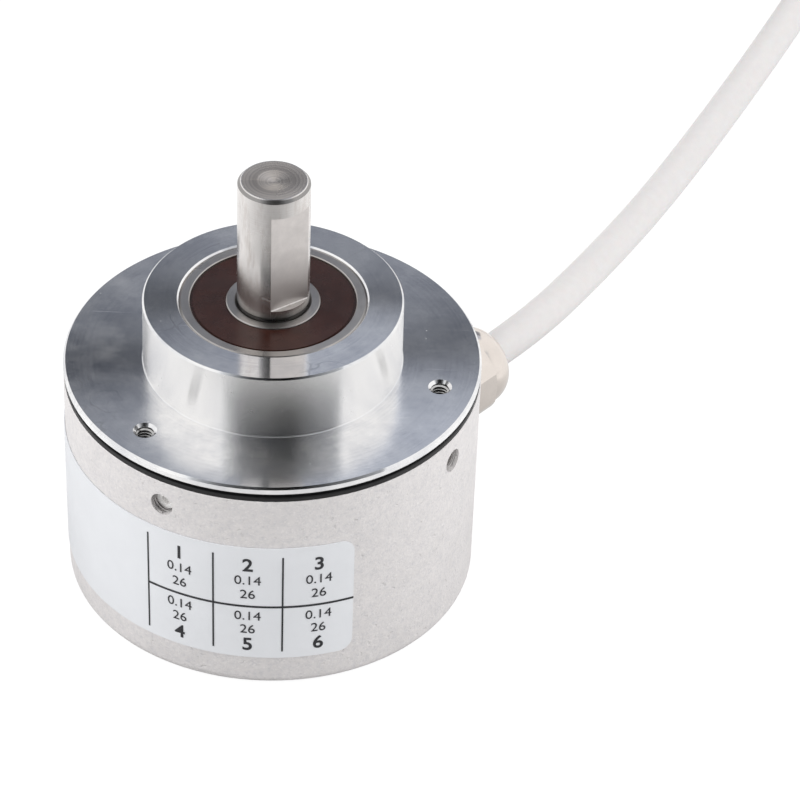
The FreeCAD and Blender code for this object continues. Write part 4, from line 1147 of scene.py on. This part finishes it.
def stage_tree(piece, name):
    """Give a piece of the stage a material with no shader yet."""
    material = bpy.data.materials.new(name)
    material.use_nodes = True
    tree = material.node_tree
    tree.nodes.remove(tree.nodes["Principled BSDF"])
    piece.data.materials.append(material)
    return Sheet(tree), tree.nodes["Material Output"].inputs["Surface"]


def seen_directly(sheet):
    """One for rays from the camera or from a mirror or glass, and zero for scattered light."""
    rays = sheet.node("LightPath").outputs
    return sheet.most(rays["Is Camera Ray"], rays["Is Glossy Ray"], rays["Is Transmission Ray"])


# Height of the point that the studio cards face, and how far the floor and its card lie below the part
CARD_AIM = 0.035
FLOOR_DROP = 0.0002
FLOOR_CARD_DROP = 0.0001
FLOOR_SIZE = 6.0


def reflector_card(name, azimuth, elevation, width, height):
    """A studio card that only shows in reflections. Azimuth 0 is on the camera's side."""
    turn, rise = math.radians(azimuth), math.radians(elevation)
    away = Vector((math.sin(turn) * math.cos(rise), -math.cos(turn) * math.cos(rise), math.sin(rise)))
    across = Vector((math.cos(turn), math.sin(turn), 0))
    deselect()
    bpy.ops.mesh.primitive_plane_add(size=1.0)
    card = bpy.context.object
    card.name = name
    facing = Matrix((across * width, away.cross(across) * height, away)).transposed()
    card.matrix_world = Matrix.Translation(away + Vector((0, 0, CARD_AIM))) @ facing.to_4x4()
    sheet, surface = stage_tree(card, name)
    glow = sheet.node("Emission")
    sheet.feed(surface, glow.outputs[0])
    card.visible_camera = False
    card.visible_diffuse = False
    card.visible_shadow = False
    card.visible_transmission = False
    return card, sheet, glow.inputs


class ENCODER_OT_set_stage(bpy.types.Operator):
    """Set the camera, the pale floor, the white surround, the lamps and the studio cards"""
    bl_idname = "encoder.set_stage"
    bl_label = "Stage"

    def execute(self, context):
        stage = context.scene.encoder_stage
        self.set_camera(context, stage)
        self.set_floor(stage)
        self.set_world(context, stage)
        area_lamp("key lamp", stage.key_place, stage.key_size, stage.key, stage.aim)
        area_lamp("fill lamp", stage.fill_place, stage.fill_size, stage.fill, stage.aim)
        self.set_back_card()
        self.set_front_card()
        self.set_floor_card()
        context.scene.view_settings.view_transform = "Standard"
        return {"FINISHED"}

    def set_back_card(self):
        """A grey card behind, lighter to the right, with a dark line across its middle."""
        _, sheet, glow = reflector_card("grey card behind", azimuth=191.0, elevation=40.0,
                                        width=1.0, height=0.8)
        glow["Color"].default_value = (0.815, 0.87, 1.0, 1.0)
        u, v = sheet.axes()[:2]
        line = sheet.ramp(u, -0.24, 0.0, start=0.175, end=0.10)
        upper = sheet.ramp(u, -0.24, 0.0, start=0.52, end=0.28)
        above = sheet.times(upper, sheet.ramp(v, -0.04, 0.05))
        below = sheet.ramp(v, -0.14, -0.075, start=0.2, end=0.0)
        sheet.feed(glow["Strength"], sheet.plus(line, above, below))

    def set_front_card(self):
        """A dark card on the camera's side, lighter to both sides, low down and in its upper corners."""
        _, sheet, glow = reflector_card("dark card in front", azimuth=12.0, elevation=38.0,
                                        width=1.75, height=1.55)
        glow["Color"].default_value = (0.93, 0.96, 1.0, 1.0)
        u, v = sheet.axes()[:2]
        sides = sheet.ramp(sheet.size_of(u), 0.06, 0.5, start=0.005, end=0.19)
        low = sheet.ramp(v, -0.42, -0.24, start=0.4, end=0.0)
        left = sheet.times(sheet.ramp(v, 0.2, 0.25), sheet.ramp(u, -0.35, -0.2, start=0.7, end=0.0))
        right = sheet.times(sheet.ramp(v, 0.15, 0.19), sheet.ramp(u, 0.06, 0.22, start=0.0, end=0.6))
        sheet.feed(glow["Strength"], sheet.plus(sides, low, sheet.most(left, right)))

    def set_floor_card(self):
        """A card on the floor that is grey in front, darker close to the part as a painted shadow of it,
        and white at both sides.
        """
        card, sheet, glow = reflector_card("card on the floor", azimuth=0.0, elevation=0.0,
                                           width=1.0, height=1.0)
        card.matrix_world = Matrix.Translation((0, 0, -FLOOR_CARD_DROP))
        x, y = sheet.axes()[:2]
        bearing = sheet.size_of(sheet.reckon("ARCTAN2", x, sheet.times(y, -1.0)))
        sides = sheet.ramp(bearing, 0.2, 1.7, start=0.5, end=1.0)
        away = sheet.vector("LENGTH", sheet.place())["Value"]
        # Painted shadow of the part: 0.4 at the rim, rising to full at two and a half rim radii.
        shaded = sheet.ramp(away, RIM_RADIUS, 2.5 * RIM_RADIUS, start=0.4, end=1.0)
        sheet.feed(glow["Strength"], sheet.times(sides, shaded))

    def set_camera(self, context, stage):
        data = bpy.data.cameras.new("camera")
        data.lens = stage.lens
        data.sensor_width = 36.0
        data.clip_start = 0.01
        camera = bpy.data.objects.new("camera", data)
        level_up = Vector((0, math.sin(stage.elevation), math.cos(stage.elevation)))
        across = Vector((1, 0, 0))
        right = across * math.cos(stage.roll) + level_up * math.sin(stage.roll)
        up = level_up * math.cos(stage.roll) - across * math.sin(stage.roll)
        facing = Matrix((right, up, right.cross(up))).transposed()
        camera.matrix_world = Matrix.Translation(Vector(stage.camera)) @ facing.to_4x4()
        context.collection.objects.link(camera)
        context.scene.camera = camera

    def set_floor(self, stage):
        """A pale floor that looks white and still takes the part's shadow."""
        deselect()
        bpy.ops.mesh.primitive_plane_add(size=FLOOR_SIZE, location=(0, 0, -FLOOR_DROP))
        floor = bpy.context.object
        floor.name = "floor"
        sheet, surface = stage_tree(floor, "pale floor")
        matt = sheet.node("BsdfDiffuse")
        matt.inputs["Color"].default_value = stage.floor
        glow = sheet.node("Emission")
        glow.inputs["Strength"].default_value = stage.floor_glow
        mixed = sheet.node("MixShader")
        glowing = sheet.times(seen_directly(sheet), stage.floor_share)
        for socket, value in zip(mixed.inputs, (glowing, matt.outputs[0], glow.outputs[0])):
            sheet.feed(socket, value)
        sheet.feed(surface, mixed.outputs[0])

    def set_world(self, context, stage):
        """A white surround that lights the part by the ambient amount."""
        world = bpy.data.worlds.new("surround")
        world.use_nodes = True
        sheet = Sheet(world.node_tree)
        ground = world.node_tree.nodes["Background"].inputs
        ground["Color"].default_value = (1, 1, 1, 1)
        sheet.feed(ground["Strength"], sheet.ramp(seen_directly(sheet), 0.0, 1.0, stage.ambient, 1.0))
        context.scene.world = world


OPERATORS = (
    ENCODER_OT_dress_housing,
    ENCODER_OT_dress_rotor,
    ENCODER_OT_dress_optics,
    ENCODER_OT_dress_board,
    ENCODER_OT_dress_gland,
    ENCODER_OT_add_threads,
    ENCODER_OT_add_label,
    ENCODER_OT_add_print,
    ENCODER_OT_add_cores,
    ENCODER_OT_add_lead,
    ENCODER_OT_set_stage,
)
PROPERTY_GROUPS = {
    "encoder_label": EncoderLabel,
    "encoder_threads": EncoderThreads,
    "encoder_lead": EncoderLead,
    "encoder_colours": EncoderColours,
    "encoder_stage": EncoderStage,
}


class ENCODER_PT_sidebar(bpy.types.Panel):
    """Operators of the rotary encoder, in the order in which they run"""
    bl_idname = "ENCODER_PT_sidebar"
    bl_label = "Rotary encoder"
    bl_space_type = "VIEW_3D"
    bl_region_type = "UI"
    bl_category = "Encoder"

    def draw(self, context):
        for operator in OPERATORS:
            self.layout.operator(operator.bl_idname)
        for name in PROPERTY_GROUPS:
            box = self.layout.box()
            group = getattr(context.scene, name)
            for key in group.bl_rna.properties.keys():
                if key not in ("rna_type", "name"):
                    box.prop(group, key)


def register():
    for name, group in PROPERTY_GROUPS.items():
        bpy.utils.register_class(group)
        setattr(bpy.types.Scene, name, PointerProperty(type=group))
    for operator in OPERATORS:
        bpy.utils.register_class(operator)
    bpy.utils.register_class(ENCODER_PT_sidebar)


def unregister():
    bpy.utils.unregister_class(ENCODER_PT_sidebar)
    for operator in reversed(OPERATORS):
        bpy.utils.unregister_class(operator)
    for name, group in PROPERTY_GROUPS.items():
        delattr(bpy.types.Scene, name)
        bpy.utils.unregister_class(group)


def main():
    register()
    for operator in OPERATORS:
        group, name = operator.bl_idname.split(".")
        getattr(getattr(bpy.ops, group), name)()
    deselect()


if __name__ == "__main__":
    main()
